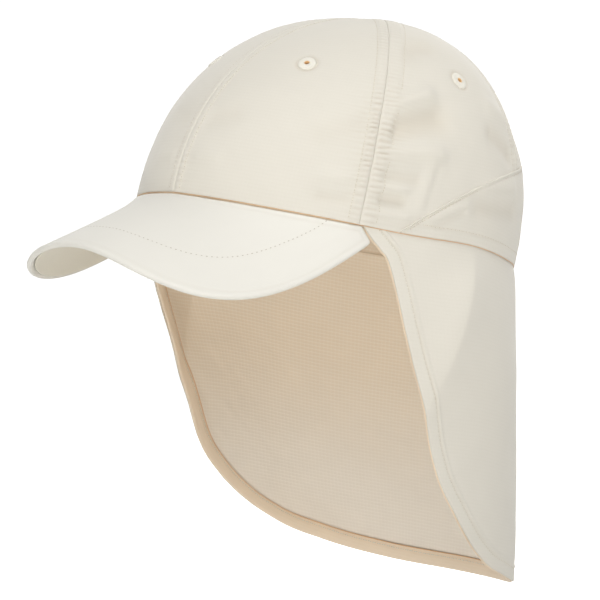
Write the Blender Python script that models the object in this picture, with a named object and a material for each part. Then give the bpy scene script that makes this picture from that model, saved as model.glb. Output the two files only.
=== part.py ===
"""Legionnaire cap in cotton-like cloth, as it keeps its form on a head.

Six crown panels meet at the apex, a yoke closes the crown behind, a curved peak stands out in
front, and a flap for the neck hangs from the rim between the ends of the peak.

Units are metres, +Z is up and the peak points to -Y. The origin is the centre of the rim, the
oval through which a head goes in. Angles go round the cap in degrees, 0 at the front and
positive towards +X, the wearer's left. A climb is an angle up the crown's profile, 0 at the rim
and 90 at the apex.
"""
import math

import bmesh
import bpy
import numpy as np
from mathutils import Matrix, Vector

# Rim and crown
RIM_WIDTH = 0.173
RIM_LENGTH = 0.200
RIM_TILT = 13.5
CROWN_HEIGHT = 0.1066
APEX_SETBACK = 0.0073
CROWN_WALL = 0.0012
PANEL_SPAN = 60.0
PANEL_TIP = 0.0009

# Profile of the crown by direction: spread holds the width up, lift the height, bulge swells it
CROWN_PROFILE = {
    # direction: (spread, lift, bulge)
    "front": (1.06, 1.01, 0.037),
    "side": (0.68, 0.96, 0.000),
    "back": (1.09, 0.93, 0.020),
}

# Wave of the rim out of its plane, by angle from the front
RIM_WAVE = [
    # (angle, lift)
    (0.0, 0.0008),
    (45.0, -0.0008),
    (75.0, -0.0008),
    (100.0, 0.0016),
    (125.0, 0.0003),
    (180.0, 0.0000),
]

# Yoke that closes the crown behind
YOKE_START = 72.0
YOKE_RISE = 29.0
YOKE_CURVE = 2.4
YOKE_TIP = 1.6

# Embroidered eyelets, one in each panel
EYELET_CLIMB = {"front": 42.0, "side": 46.5, "back": 45.0}
EYELET_WIDTH = 0.0080
EYELET_HOLE = 0.0025
EYELET_PROUD = 0.0005

# Peak
PEAK_SPAN = 61.0
PEAK_PROJECTION = 0.0610
PEAK_WIDTH = 0.1546
PEAK_CORNER_SETBACK = 0.0052
PEAK_DROP = 0.0203
PEAK_PITCH = 0.413
PEAK_ARCH = 0.0498
PEAK_ARCH_CURVE = 2.18
PEAK_ROUNDNESS = 2.98
PEAK_BOARD = 0.0017
PEAK_EDGE = 0.0030
PEAK_LIP = 0.0032
UNDERSIDE_WALL = 0.0010

# Neck flap
FLAP_START = 62.5
FLAP_LENGTH = 0.158
FLAP_WALL = 0.0010
HEM_WIDTH = 0.0078
HEM_WALL = 0.0010
HEM_SETBACK = 0.0003

# Plan of the flap by depth, as shares of the flap's length and of the rim's half sizes
FLAP_PLAN = [
    # (depth, half width, squareness, half length)
    (0.000, 1.000, 1.00, 1.000),
    (0.253, 1.075, 1.12, 0.990),
    (0.633, 1.030, 0.97, 0.990),
    (0.886, 0.965, 0.89, 1.013),
    (1.000, 0.890, 0.78, 1.020),
]

# Length of the flap by angle, the angle as a share of the way from its front end to the back
FLAP_EDGE = [
    # (way round, share of the flap's length)
    (0.000, 0.018),
    (0.050, 0.120),
    (0.084, 0.340),
    (0.118, 0.480),
    (0.185, 0.700),
    (0.252, 0.815),
    (0.320, 0.895),
    (0.404, 0.950),
    (0.532, 0.980),
    (0.745, 1.000),
    (1.000, 1.000),
]

# Soft folds of the flap, on both sides, each a ridge that runs down and forward from the rim
FLAP_FOLDS = [
    # (angle at the rim, angle at its foot, depth of its foot, half width, rise)
    (99.0, 74.0, 0.62, 0.0120, 0.0020),
    (150.0, 158.0, 0.90, 0.0200, 0.0012),
]
FOLD_ROOT = 0.10

# Clearances between pieces
GAP = 0.0003
SEAM_GAP = 0.0004
HEM_GAP = 0.0005
UNDERSIDE_GAP = 0.0005

# How many walls deep an eyelet's cutter reaches
CUTTER_REACH = 6

# Fineness of the meshes
PANEL_STEP = 6.0
PANEL_ROWS = 9
YOKE_ROWS = 3
PEAK_COLUMNS = 33
PEAK_ROWS = 8
LIP_STEP = 0.05
FLAP_COLUMNS = 60
FLAP_CROWDING = 1.6
FLAP_ROWS = 12
EYELET_SIDES = 14

# Colours, linear
CREAM = (0.80, 0.76, 0.68)
PALE_CREAM = (0.84, 0.80, 0.73)
BEIGE = (0.62, 0.49, 0.36)
THREAD = (0.86, 0.84, 0.80)


def clear_scene():
    """Remove every object that the scene holds."""
    for item in list(bpy.data.objects):
        bpy.data.objects.remove(item, do_unlink=True)


def cloth_material(name, colour, roughness):
    """Return a plain cloth material."""
    material = bpy.data.materials.new(name)
    material.use_nodes = True
    shader = material.node_tree.nodes["Principled BSDF"]
    shader.inputs["Base Color"].default_value = (*colour, 1.0)
    shader.inputs["Roughness"].default_value = roughness
    shader.inputs["Metallic"].default_value = 0.0
    return material


def smooth_table(rows, column, at):
    """Read a table's column at one place, as a smooth curve through its rows."""
    places = np.array([row[0] for row in rows])
    values = np.array([row[column] for row in rows])
    slopes = np.gradient(values, places)
    i = int(np.clip(np.searchsorted(places, at) - 1, 0, len(places) - 2))
    span = places[i + 1] - places[i]
    t = (at - places[i]) / span
    start = (1 + 2 * t) * (1 - t) ** 2 * values[i] + t * (1 - t) ** 2 * span * slopes[i]
    end = t ** 2 * (3 - 2 * t) * values[i + 1] - t ** 2 * (1 - t) * span * slopes[i + 1]
    return float(start + end)


def tilted(x, y, z):
    """Turn a point of the rim's own plane to where the worn cap holds it, front up."""
    tilt = math.radians(RIM_TILT)
    return Vector((
        x,
        y * math.cos(tilt) + z * math.sin(tilt),
        z * math.cos(tilt) - y * math.sin(tilt),
    ))


def angle_from_front(angle):
    """Return an angle round the cap as 0 to 180, the same on both sides."""
    return abs((angle + 180) % 360 - 180)


def rim_wave(angle):
    """Return how far the rim stands above its own plane at an angle."""
    return smooth_table(RIM_WAVE, 1, angle_from_front(angle))


def rim_point(angle, drop=0.0):
    """Return a point of the rim, moved down from its plane."""
    turn = math.radians(angle)
    x = RIM_WIDTH / 2 * math.sin(turn)
    y = -RIM_LENGTH / 2 * math.cos(turn)
    return tilted(x, y, rim_wave(angle) - drop)


def profile_value(angle, column):
    """Blend a column of the crown's profile between front, side and back."""
    turn = math.radians(angle)
    forward = math.cos(turn) ** 2
    end = CROWN_PROFILE["front" if math.cos(turn) > 0 else "back"][column]
    return forward * end + (1 - forward) * CROWN_PROFILE["side"][column]


def crown_spread(angle, climb):
    """Return how far out the crown is at a climb, as a share of the rim."""
    rise = math.radians(climb)
    bulge = 1 + profile_value(angle, 2) * math.sin(2 * rise)
    return max(math.cos(rise), 0.0) ** profile_value(angle, 0) * bulge


def crown_point(angle, climb):
    """Return a point of the crown's outer face."""
    turn = math.radians(angle)
    spread = crown_spread(angle, climb)
    lift = math.sin(math.radians(climb)) ** profile_value(angle, 1)
    x = RIM_WIDTH / 2 * math.sin(turn) * spread
    y = -RIM_LENGTH / 2 * math.cos(turn) * spread + APEX_SETBACK * lift
    return tilted(x, y, CROWN_HEIGHT * lift + rim_wave(angle) * (1 - lift))


def plan_radius(angle):
    """Return the rim's half size in a direction."""
    turn = math.radians(angle)
    return math.hypot(RIM_WIDTH / 2 * math.sin(turn), RIM_LENGTH / 2 * math.cos(turn))


def tip_climb(angle):
    """Return the climb at which a panel's tip ends, just short of the apex."""
    share = PANEL_TIP / plan_radius(angle)
    return math.degrees(math.acos(share ** (1 / profile_value(angle, 0))))


def yoke_climb(angle):
    """Return the climb of the yoke's upper seam, 0 in front of the yoke."""
    way = max(angle_from_front(angle) - YOKE_START, 0.0) / (180 - YOKE_START)
    return YOKE_RISE * (1 - (1 - way) ** YOKE_CURVE)


def stations(start, end):
    """Return the angles of a panel's columns, with one where the yoke begins."""
    angles = set(np.linspace(start, end, round((end - start) / PANEL_STEP) + 1))
    angles |= {a for a in (YOKE_START, 360 - YOKE_START) if start < a < end}
    return sorted(float(a) for a in angles)


def grid_mesh(name, rows, flip=False):
    """Return a mesh of one quad sheet from rows of points."""
    mesh = bpy.data.meshes.new(name)
    count = len(rows[0])
    points = [tuple(p) for row in rows for p in row]
    faces = []
    for r in range(len(rows) - 1):
        for c in range(count - 1):
            a = r * count + c
            quad = (a, a + 1, a + count + 1, a + count)
            faces.append(quad[::-1] if flip else quad)
    mesh.from_pydata(points, [], faces)
    mesh.validate()
    return mesh


def add_object(name, mesh, material):
    """Put a mesh into the scene as one smooth-shaded piece."""
    mesh.materials.append(material)
    mesh.shade_smooth()
    mesh.set_sharp_from_angle(angle=math.radians(40))
    piece = bpy.data.objects.new(name, mesh)
    bpy.context.scene.collection.objects.link(piece)
    return piece


def solidify(piece, wall):
    """Give a sheet its wall, inwards from the face that it was drawn on."""
    modifier = piece.modifiers.new("Wall", "SOLIDIFY")
    modifier.thickness = wall
    modifier.offset = -1.0
    modifier.use_even_offset = False
    modifier.use_rim = True


def crown_panel(name, start, end, material):
    """Make one crown panel, from the rim or the yoke up to the apex."""
    clear_climb = math.degrees(SEAM_GAP / CROWN_HEIGHT)
    columns = stations(start, end)
    rows = []
    for r in range(PANEL_ROWS + 1):
        way = r / PANEL_ROWS
        row = []
        for angle in columns:
            over_yoke = YOKE_START <= angle <= 360 - YOKE_START
            low = yoke_climb(angle) + clear_climb if over_yoke else 0.0
            climb = low + (tip_climb(angle) - low) * way
            radius = plan_radius(angle) * crown_spread(angle, climb)
            inset = math.degrees(SEAM_GAP / 2 / radius)
            place = min(max(angle, start + inset), end - inset)
            row.append(crown_point(place, climb))
        rows.append(row)
    piece = add_object(name, grid_mesh(name, rows), material)
    solidify(piece, CROWN_WALL)
    return piece


def back_yoke(material):
    """Make the yoke between the slanted seam and the rim, round the back."""
    start = YOKE_START + YOKE_TIP
    inner = [a for a in stations(YOKE_START, 360 - YOKE_START) if start < a < 360 - start]
    columns = [start] + inner + [360 - start]
    rows = []
    for r in range(YOKE_ROWS + 1):
        rows.append([crown_point(a, yoke_climb(a) * r / YOKE_ROWS) for a in columns])
    piece = add_object("back_yoke", grid_mesh("back_yoke", rows), material)
    solidify(piece, CROWN_WALL)
    return piece


def crown_frame(angle, climb):
    """Return a matrix that stands on the crown's outer face, Z along its normal."""
    step = 0.5
    centre = crown_point(angle, climb)
    around = crown_point(angle + step, climb) - crown_point(angle - step, climb)
    up = crown_point(angle, climb + step) - crown_point(angle, climb - step)
    normal = around.cross(up).normalized()
    side = around.normalized()
    turn = Matrix((side, normal.cross(side), normal)).transposed().to_4x4()
    return Matrix.Translation(centre) @ turn


def eyelet(name, panel, angle, material):
    """Cut a panel's eyelet hole and seat the stitched ring in it."""
    place = crown_frame(angle, EYELET_CLIMB[name.split("_")[0]])
    outer = EYELET_WIDTH / 2
    bpy.ops.mesh.primitive_cylinder_add(
        vertices=EYELET_SIDES, radius=outer + GAP, depth=CROWN_WALL * CUTTER_REACH)
    cutter = bpy.context.object
    cutter.name = name + "_cutter"
    cutter.matrix_world = place
    cutter.hide_render = True
    cutter.display_type = "WIRE"
    cut = panel.modifiers.new("Eyelet hole", "BOOLEAN")
    cut.operation = "DIFFERENCE"
    cut.solver = "EXACT"
    cut.object = cutter

    top = EYELET_PROUD
    bottom = -CROWN_WALL - EYELET_PROUD
    round_off = EYELET_PROUD
    profile = [
        (EYELET_HOLE / 2, bottom + round_off),
        (EYELET_HOLE / 2, top - round_off),
        (EYELET_HOLE / 2 + round_off, top),
        (outer - round_off, top),
        (outer, top - round_off),
        (outer, bottom + round_off),
        (outer - round_off, bottom),
        (EYELET_HOLE / 2 + round_off, bottom),
    ]
    shape = bmesh.new()
    points = [shape.verts.new((r, 0.0, z)) for r, z in profile]
    edges = [shape.edges.new((points[i], points[i - 1])) for i in range(len(points))]
    bmesh.ops.spin(shape, geom=points + edges, cent=(0, 0, 0), axis=(0, 0, 1),
                   angle=math.tau, steps=EYELET_SIDES, use_merge=True)
    bmesh.ops.remove_doubles(shape, verts=shape.verts, dist=1e-6)
    bmesh.ops.recalc_face_normals(shape, faces=shape.faces)
    bmesh.ops.transform(shape, matrix=place, verts=shape.verts)
    mesh = bpy.data.meshes.new(name)
    shape.to_mesh(mesh)
    shape.free()
    return add_object(name, mesh, material)


def peak_edge(share):
    """Return a point of the peak's free edge, share from -1 at one end to 1 at the other."""
    front = rim_point(0)
    root = rim_point(PEAK_SPAN).y + PEAK_CORNER_SETBACK
    half_width = PEAK_WIDTH / 2
    reach = root - front.y + PEAK_PROJECTION
    turn = math.radians(90 * share)
    across = abs(math.sin(turn)) / half_width
    along = abs(math.cos(turn)) / reach
    radius = (across ** PEAK_ROUNDNESS + along ** PEAK_ROUNDNESS) ** (-1 / PEAK_ROUNDNESS)
    x = radius * math.sin(turn)
    y = root - radius * math.cos(turn)
    arch = PEAK_ARCH * (abs(x) / half_width) ** PEAK_ARCH_CURVE
    z = front.z - PEAK_DROP + PEAK_PITCH * (y - (root - reach)) - arch
    return Vector((x, y, z))


def peak_point(share, way):
    """Return a point of the peak's upper face, way from 0 at the rim to 1 at its edge."""
    inner = rim_point(PEAK_SPAN * share, drop=SEAM_GAP)
    return inner.lerp(peak_edge(share), way)


def peak_normal(share, way):
    """Return the direction straight out of the peak's upper face."""
    step = 0.01
    across = peak_point(share + step, way) - peak_point(share - step, way)
    outward = peak_point(share, way + step) - peak_point(share, way - step)
    return outward.cross(across).normalized()


def peak_columns():
    """Return the shares of the peak's columns, with a step at the lip's inner side."""
    lip = 2 * PEAK_LIP / PEAK_WIDTH
    inner = 1 - lip * (1 + LIP_STEP)
    return [-1.0, lip - 1, *np.linspace(-inner, inner, PEAK_COLUMNS), 1 - lip, 1.0]


def peak_ways():
    """Return the ways of the peak's rows, with a step at the lip's inner side."""
    lip = PEAK_LIP / PEAK_PROJECTION
    return [*np.linspace(0.0, 1 - lip * (1 + LIP_STEP), PEAK_ROWS), 1 - lip, 1.0]


def closed_shell(name, upper, lower, material):
    """Make one closed body between two grids of points, the upper one outside."""
    rows, count = len(upper), len(upper[0])
    mesh = bpy.data.meshes.new(name)
    points = [tuple(p) for grid in (upper, lower) for row in grid for p in row]
    below = rows * count
    faces = []
    for r in range(rows - 1):
        for c in range(count - 1):
            a = r * count + c
            quad = (a, a + count, a + count + 1, a + 1)
            faces.append(quad)
            faces.append(tuple(p + below for p in quad[::-1]))
    ring = [c for c in range(count)]
    ring += [r * count + count - 1 for r in range(1, rows)]
    ring += [(rows - 1) * count + c for c in range(count - 2, -1, -1)]
    ring += [r * count for r in range(rows - 2, 0, -1)]
    for i, a in enumerate(ring):
        b = ring[(i + 1) % len(ring)]
        faces.append((a, b, b + below, a + below))
    mesh.from_pydata(points, [], faces)
    mesh.validate()
    return add_object(name, mesh, material)


def peak_top(material):
    """Make the cloth-covered peak, with a rolled edge that stands down round its underside."""
    shares, ways = peak_columns(), peak_ways()
    upper, lower = [], []
    for j, way in enumerate(ways):
        top_row, under_row = [], []
        for i, share in enumerate(shares):
            at_end = i < 2 or i > len(shares) - 3
            at_edge = j > len(ways) - 3
            depth = PEAK_EDGE if at_edge or (at_end and j > 0) else PEAK_BOARD
            point = peak_point(share, way)
            top_row.append(point)
            under_row.append(point - peak_normal(share, way) * depth)
        upper.append(top_row)
        lower.append(under_row)
    return closed_shell("peak_top", upper, lower, material)


def peak_underside(material):
    """Make the panel that lies inside the rolled edge, under the peak."""
    shares, ways = peak_columns()[2:-2], peak_ways()[:-2]
    side_clear = 4 * GAP / PEAK_WIDTH
    shares[0] += side_clear
    shares[-1] -= side_clear
    ways[0] = PEAK_BOARD / PEAK_PROJECTION
    upper, lower = [], []
    for way in ways:
        row = []
        for share in shares:
            ruling = (peak_edge(share) - rim_point(PEAK_SPAN * share)).length
            place = min(way, ways[-1] - 2 * GAP / ruling)
            row.append((peak_point(share, place), peak_normal(share, place)))
        upper.append([p - n * (PEAK_BOARD + UNDERSIDE_GAP) for p, n in row])
        lower.append([p - n * (PEAK_BOARD + UNDERSIDE_GAP + UNDERSIDE_WALL) for p, n in row])
    return closed_shell("peak_underside", upper, lower, material)


def fold_rise(angle, share):
    """Return how far the flap's folds stand out at an angle and a share of its depth."""
    rise = 0.0
    for top, foot, foot_depth, half_width, height in FLAP_FOLDS:
        way = min(share / foot_depth, 1.0)
        centre = top + (foot - top) * way
        arc = math.radians(angle_from_front(angle) - centre) * RIM_WIDTH / 2
        fade = (1 - way ** 3) * (1 - math.exp(-share / FOLD_ROOT))
        rise += height * fade * math.exp(-(arc / half_width) ** 2)
    return rise


def flap_point(angle, depth):
    """Return a point of the flap's outer face at a depth straight below the rim."""
    turn = math.radians(angle)
    share = min(depth / FLAP_LENGTH, 1.0)
    squareness = smooth_table(FLAP_PLAN, 2, share)
    half_width = RIM_WIDTH / 2 * smooth_table(FLAP_PLAN, 1, share)
    half_length = abs(rim_point(180).y) * smooth_table(FLAP_PLAN, 3, share)
    side = math.copysign(abs(math.sin(turn)) ** squareness, math.sin(turn))
    proud = 1 + fold_rise(angle, share) * 2 / RIM_WIDTH
    return Vector((
        half_width * side * proud,
        -half_length * math.cos(turn) * proud,
        rim_point(angle).z - GAP - depth,
    ))


def flap_length(angle):
    """Return how far the flap hangs below the rim at an angle."""
    way = (angle_from_front(angle) - FLAP_START) / (180 - FLAP_START)
    return FLAP_LENGTH * smooth_table(FLAP_EDGE, 1, min(max(way, 0.0), 1.0))


def flap_angles():
    """Return the angles of the flap's columns, closer together at its front ends."""
    half = np.linspace(0, 1, FLAP_COLUMNS // 2 + 1)
    left = FLAP_START + (180 - FLAP_START) * half ** FLAP_CROWDING
    return [float(a) for a in left] + [float(360 - a) for a in left[-2::-1]]


def neck_flap(material):
    """Make the hanging flap as one curved sheet."""
    rows = []
    for r in range(FLAP_ROWS + 1):
        way = r / FLAP_ROWS
        rows.append([flap_point(a, flap_length(a) * way) for a in flap_angles()])
    piece = add_object("neck_flap", grid_mesh("neck_flap", rows, flip=True), material)
    solidify(piece, FLAP_WALL)
    return piece


def flap_normal(angle, depth):
    """Return the direction straight out of the flap's outer face."""
    turn_step = 0.25
    depth_step = FLAP_LENGTH * 0.003
    around = flap_point(angle + turn_step, depth) - flap_point(angle - turn_step, depth)
    low = max(depth - depth_step, 0.0)
    down = flap_point(angle, low + depth_step + depth_step) - flap_point(angle, low)
    return down.cross(around).normalized()


def hem_station(angle):
    """Return the hem's outer and inner places at an angle, each as (angle, depth)."""
    step = 0.2
    here = flap_length(angle)
    around = flap_point(angle + step, here) - flap_point(angle - step, here)
    arc = math.hypot(around.x, around.y)
    fall = flap_length(angle + step) - flap_length(angle - step)
    size = math.hypot(arc, fall)
    turn_rate = 2 * step / arc
    places = []
    for inset in (HEM_SETBACK, HEM_SETBACK + HEM_WIDTH):
        places.append((angle + fall / size * inset * turn_rate, here - arc / size * inset))
    return places


def flap_hem(material):
    """Make the hem, turned to the inside along the flap's free edge."""
    lift = FLAP_WALL + HEM_GAP
    rows = [[], []]
    for angle in flap_angles()[1:-1]:
        for row, (place, depth) in zip(rows, hem_station(angle)):
            depth = max(depth, 0.0)
            row.append(flap_point(place, depth) - flap_normal(place, depth) * lift)
    piece = add_object("flap_hem", grid_mesh("flap_hem", rows), material)
    solidify(piece, HEM_WALL)
    return piece


def build():
    """Make every piece of the cap."""
    clear_scene()
    shell = cloth_material("Cream cloth", CREAM, 0.85)
    peak_cloth = cloth_material("Peak cloth", PALE_CREAM, 0.80)
    lining_side = cloth_material("Beige cloth", BEIGE, 0.88)
    thread = cloth_material("Thread", THREAD, 0.60)

    names = ["front_left", "side_left", "back_left", "back_right", "side_right", "front_right"]
    for i, name in enumerate(names):
        start = i * PANEL_SPAN
        panel = crown_panel(name + "_panel", start, start + PANEL_SPAN, shell)
        eyelet(name + "_eyelet", panel, start + PANEL_SPAN / 2, thread)
    back_yoke(shell)
    peak_top(peak_cloth)
    peak_underside(peak_cloth)
    neck_flap(shell)
    flap_hem(lining_side)


build()
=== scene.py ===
"""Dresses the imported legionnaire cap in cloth, seams, stitches and eyelets, and lights it.

Units are metres, +Z is up, the peak points to -Y and the wearer's left is +X. The origin is the
centre of the rim, the oval through which a head goes in. Angles go round the cap in degrees, 0 at
the front and positive towards +X. A climb is an angle up the crown's profile, 0 at the rim and 90
at the apex.
"""

import logging
import math
from dataclasses import dataclass, field
from enum import Enum

import bpy
import numpy as np
from mathutils import Matrix, Vector
from mathutils.bvhtree import BVHTree
from mathutils.kdtree import KDTree


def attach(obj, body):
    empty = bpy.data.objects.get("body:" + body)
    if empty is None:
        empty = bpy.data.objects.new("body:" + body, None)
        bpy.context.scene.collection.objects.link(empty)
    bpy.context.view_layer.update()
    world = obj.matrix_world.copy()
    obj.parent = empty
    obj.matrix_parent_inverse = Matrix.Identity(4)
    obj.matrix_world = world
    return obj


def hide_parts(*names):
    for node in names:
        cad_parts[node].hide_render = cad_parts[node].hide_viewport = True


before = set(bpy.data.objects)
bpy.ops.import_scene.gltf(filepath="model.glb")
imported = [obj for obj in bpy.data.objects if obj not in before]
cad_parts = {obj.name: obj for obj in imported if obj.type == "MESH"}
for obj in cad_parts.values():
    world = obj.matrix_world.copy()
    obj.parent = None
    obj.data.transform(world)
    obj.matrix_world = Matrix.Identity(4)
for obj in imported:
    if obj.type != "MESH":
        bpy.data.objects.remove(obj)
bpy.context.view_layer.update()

LOG = logging.getLogger("cap")
Array = np.ndarray
Table = tuple[tuple[float, ...], ...]
UV_NAME = "weave"
MM = 0.001


# Small tools

def linear(code: str) -> tuple[float, float, float, float]:
    """Turn an sRGB hex value into a linear colour.

    Args:
        code: The colour as "#rrggbb".

    Returns:
        Red, green, blue and an alpha of 1, linear.
    """
    parts = [int(code[i:i + 2], 16) / 255 for i in (1, 3, 5)]
    shades = [c / 12.92 if c <= 0.04045 else ((c + 0.055) / 1.055) ** 2.4 for c in parts]
    return shades[0], shades[1], shades[2], 1.0


def add_node(tree: bpy.types.NodeTree, kind: str, settings: dict | None = None,
             inputs: dict | None = None) -> bpy.types.Node:
    """Add a node with its settings and its inputs.

    Args:
        tree: The material's or world's node tree.
        kind: The node's type name.
        settings: Values of the node's own properties.
        inputs: By socket name or number, a value to set or an output socket to link.

    Returns:
        The new node.
    """
    node = tree.nodes.new(kind)
    for name, value in (settings or {}).items():
        setattr(node, name, value)
    for name, value in (inputs or {}).items():
        if isinstance(value, bpy.types.NodeSocket):
            tree.links.new(value, node.inputs[name])
        else:
            node.inputs[name].default_value = value
    return node


def smooth_table(rows: Table, column: int, at: Array | float) -> Array:
    """Read a table's column as a smooth curve through its rows.

    Args:
        rows: The table, its first column the place of each row.
        column: Which column to read.
        at: The places to read it at.

    Returns:
        The values at those places.
    """
    places = np.array([row[0] for row in rows])
    values = np.array([row[column] for row in rows])
    slopes = np.gradient(values, places)
    at = np.asarray(at, float)
    i = np.clip(np.searchsorted(places, at) - 1, 0, len(places) - 2)
    span = places[i + 1] - places[i]
    t = (at - places[i]) / span
    start = (1 + 2 * t) * (1 - t) ** 2 * values[i] + t * (1 - t) ** 2 * span * slopes[i]
    end = t ** 2 * (3 - 2 * t) * values[i + 1] - t ** 2 * (1 - t) * span * slopes[i + 1]
    return start + end


def smooth_step(low: float, high: float, value: Array) -> Array:
    """Rise smoothly from 0 at low to 1 at high."""
    t = np.clip((value - low) / (high - low), 0, 1)
    return t * t * (3 - 2 * t)


def hump(value: Array, half_width: float) -> Array:
    """Return a soft hump, 1 at zero and gone about two half widths away."""
    return np.exp(-(value / half_width) ** 2)


def path_lengths(points: Array, axis: int = 0) -> Array:
    """Return how far along each of a grid's lines its points are.

    Args:
        points: Points in a grid or a line, the last axis their coordinates.
        axis: The axis to travel along.

    Returns:
        The distance of each point from the start of its line.
    """
    steps = np.linalg.norm(np.diff(points, axis=axis), axis=-1)
    start = np.zeros_like(np.take(steps, [0], axis=axis))
    return np.concatenate([start, np.cumsum(steps, axis=axis)], axis=axis)


def resampled(path: Array, pitch: float) -> Array:
    """Return points at an even pitch along a path."""
    along = path_lengths(path)
    count = max(int(round(along[-1] / pitch)), 1)
    places = (np.arange(count) + 0.5) / count * along[-1]
    return np.stack([np.interp(places, along, path[:, k]) for k in range(3)], axis=-1)


def unit_normals(points: Array, flip: bool = False) -> Array:
    """Return the unit normals of a grid of points.

    Args:
        points: Rows by columns by 3.
        flip: Whether to turn them to the other side.

    Returns:
        One normal for each point.
    """
    normal = np.cross(np.gradient(points, axis=1), np.gradient(points, axis=0))
    normal /= np.maximum(np.linalg.norm(normal, axis=-1, keepdims=True), 1e-15)
    return -normal if flip else normal


def border_distances(points: Array) -> tuple[Array, Array, Array]:
    """Measure a grid of points from its borders.

    Args:
        points: Rows by columns by 3.

    Returns:
        Distances along the rows, along the columns, and from the nearest border.
    """
    across, up = path_lengths(points, 1), path_lengths(points, 0)
    side = np.minimum(across, across[:, -1:] - across)
    return across, up, np.minimum(side, np.minimum(up, up[-1:] - up))


def unit(vector: Array) -> Array:
    """Return a vector at a length of 1."""
    return vector / np.linalg.norm(vector)


def edge_shares(length: float, spacing: float, radius: float) -> Array:
    """Return shares along a length, close together where its ends are rounded."""
    ends = np.array([0.0, 0.06, 0.25, 0.6, 1.0]) * radius / length
    middle = np.linspace(ends[-1], 1 - ends[-1], max(int(round(length / spacing)), 2))
    return np.concatenate([ends[:-1], middle, 1 - ends[-2::-1]])


def round_in(distance: Array, radius: float) -> Array:
    """Return how far a rounded edge falls in, by the distance from its border."""
    t = 1 - np.clip(distance / radius, 0, 1)
    return radius * (1 - np.sqrt(1 - t ** 2))


def segment_distance(points: Array, start: Array, end: Array) -> Array:
    """Return how far points are from a straight line between two others."""
    line = end - start
    share = np.clip((points - start) @ line / (line @ line), 0, 1)
    return np.linalg.norm(points - start - share[..., None] * line, axis=-1)


def line_distance(points: Array, path: Array) -> tuple[Array, Array]:
    """Measure points against a path.

    Args:
        points: A grid of points.
        path: The path's points, in order.

    Returns:
        The distance of each point from the path, and how far along the path it is.
    """
    fine = resampled(path, 0.4 * MM)
    tree = KDTree(len(fine))
    for i, point in enumerate(fine):
        tree.insert(point, i)
    tree.balance()
    along = path_lengths(fine)
    found = [tree.find(p) for p in points.reshape(-1, 3)]
    shape = points.shape[:-1]
    distance = np.array([f[2] for f in found]).reshape(shape)
    return distance, along[[f[1] for f in found]].reshape(shape)


@dataclass(frozen=True)
class SoftNoise:
    """Smooth, seeded unevenness over two lengths."""

    seed: int
    size: float

    def at(self, u: Array, v: Array) -> Array:
        """Return values between -1 and 1.

        Args:
            u: Places along one direction, in metres.
            v: Places along the other.

        Returns:
            The unevenness at each place.
        """
        lattice = np.random.default_rng(self.seed).uniform(-1, 1, (64, 64))
        x, y = np.broadcast_arrays(np.asarray(u) / self.size, np.asarray(v) / self.size)
        i, j = np.floor(x).astype(int), np.floor(y).astype(int)
        s, t = smooth_step(0, 1, x - i), smooth_step(0, 1, y - j)
        corner = [[lattice[(i + a) % 64, (j + b) % 64] for b in (0, 1)] for a in (0, 1)]
        low = corner[0][0] * (1 - s) + corner[1][0] * s
        high = corner[0][1] * (1 - s) + corner[1][1] * s
        return low * (1 - t) + high * t


# The cap's own form, the same numbers as its solids

CROWN_PROFILE: dict[str, tuple[float, float, float]] = {
    # direction: (spread, lift, bulge)
    "front": (1.06, 1.01, 0.037),
    "side": (0.68, 0.96, 0.000),
    "back": (1.09, 0.93, 0.020),
}

# angle, lift
RIM_WAVE: Table = (
    (0.0, 0.0008), (45.0, -0.0008), (75.0, -0.0008), (100.0, 0.0016), (125.0, 0.0003),
    (180.0, 0.0000),
)

# depth as a share of the flap's length, half width, squareness, half length
FLAP_PLAN: Table = (
    (0.000, 1.000, 1.00, 1.000),
    (0.253, 1.075, 1.12, 0.990),
    (0.633, 1.030, 0.97, 0.990),
    (0.886, 0.965, 0.89, 1.013),
    (1.000, 0.890, 0.78, 1.020),
)

# angle from the front, share of the flap's length
FLAP_EDGE: Table = (
    (61.2, 0.000), (63.2, 0.030), (65.8, 0.061), (68.0, 0.100), (69.1, 0.165), (70.5, 0.254),
    (73.0, 0.368), (76.4, 0.480), (84.2, 0.700), (92.1, 0.815), (100.1, 0.895),
    (110.0, 0.950), (125.0, 0.980), (150.0, 1.000), (180.0, 1.000),
)

# angle at the rim, angle at the foot, depth of the foot, half width, rise
FLAP_FOLDS: Table = (
    (99.0, 74.0, 0.62, 0.0120, 0.0020),
    (150.0, 158.0, 0.90, 0.0200, 0.0012),
)

# depth, how far the flap's right side swings out and forwards at its front, both in mm
FAR_SWING: Table = (
    (-2.0, 2.0), (10.0, 3.6), (22.0, 5.0), (34.0, 4.9), (44.0, 3.0), (54.0, 1.0), (66.0, -0.9),
    (80.0, -1.3), (94.0, -0.2), (112.0, 1.4), (128.0, 2.4), (144.0, 1.6), (160.0, 0.0),
)


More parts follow.
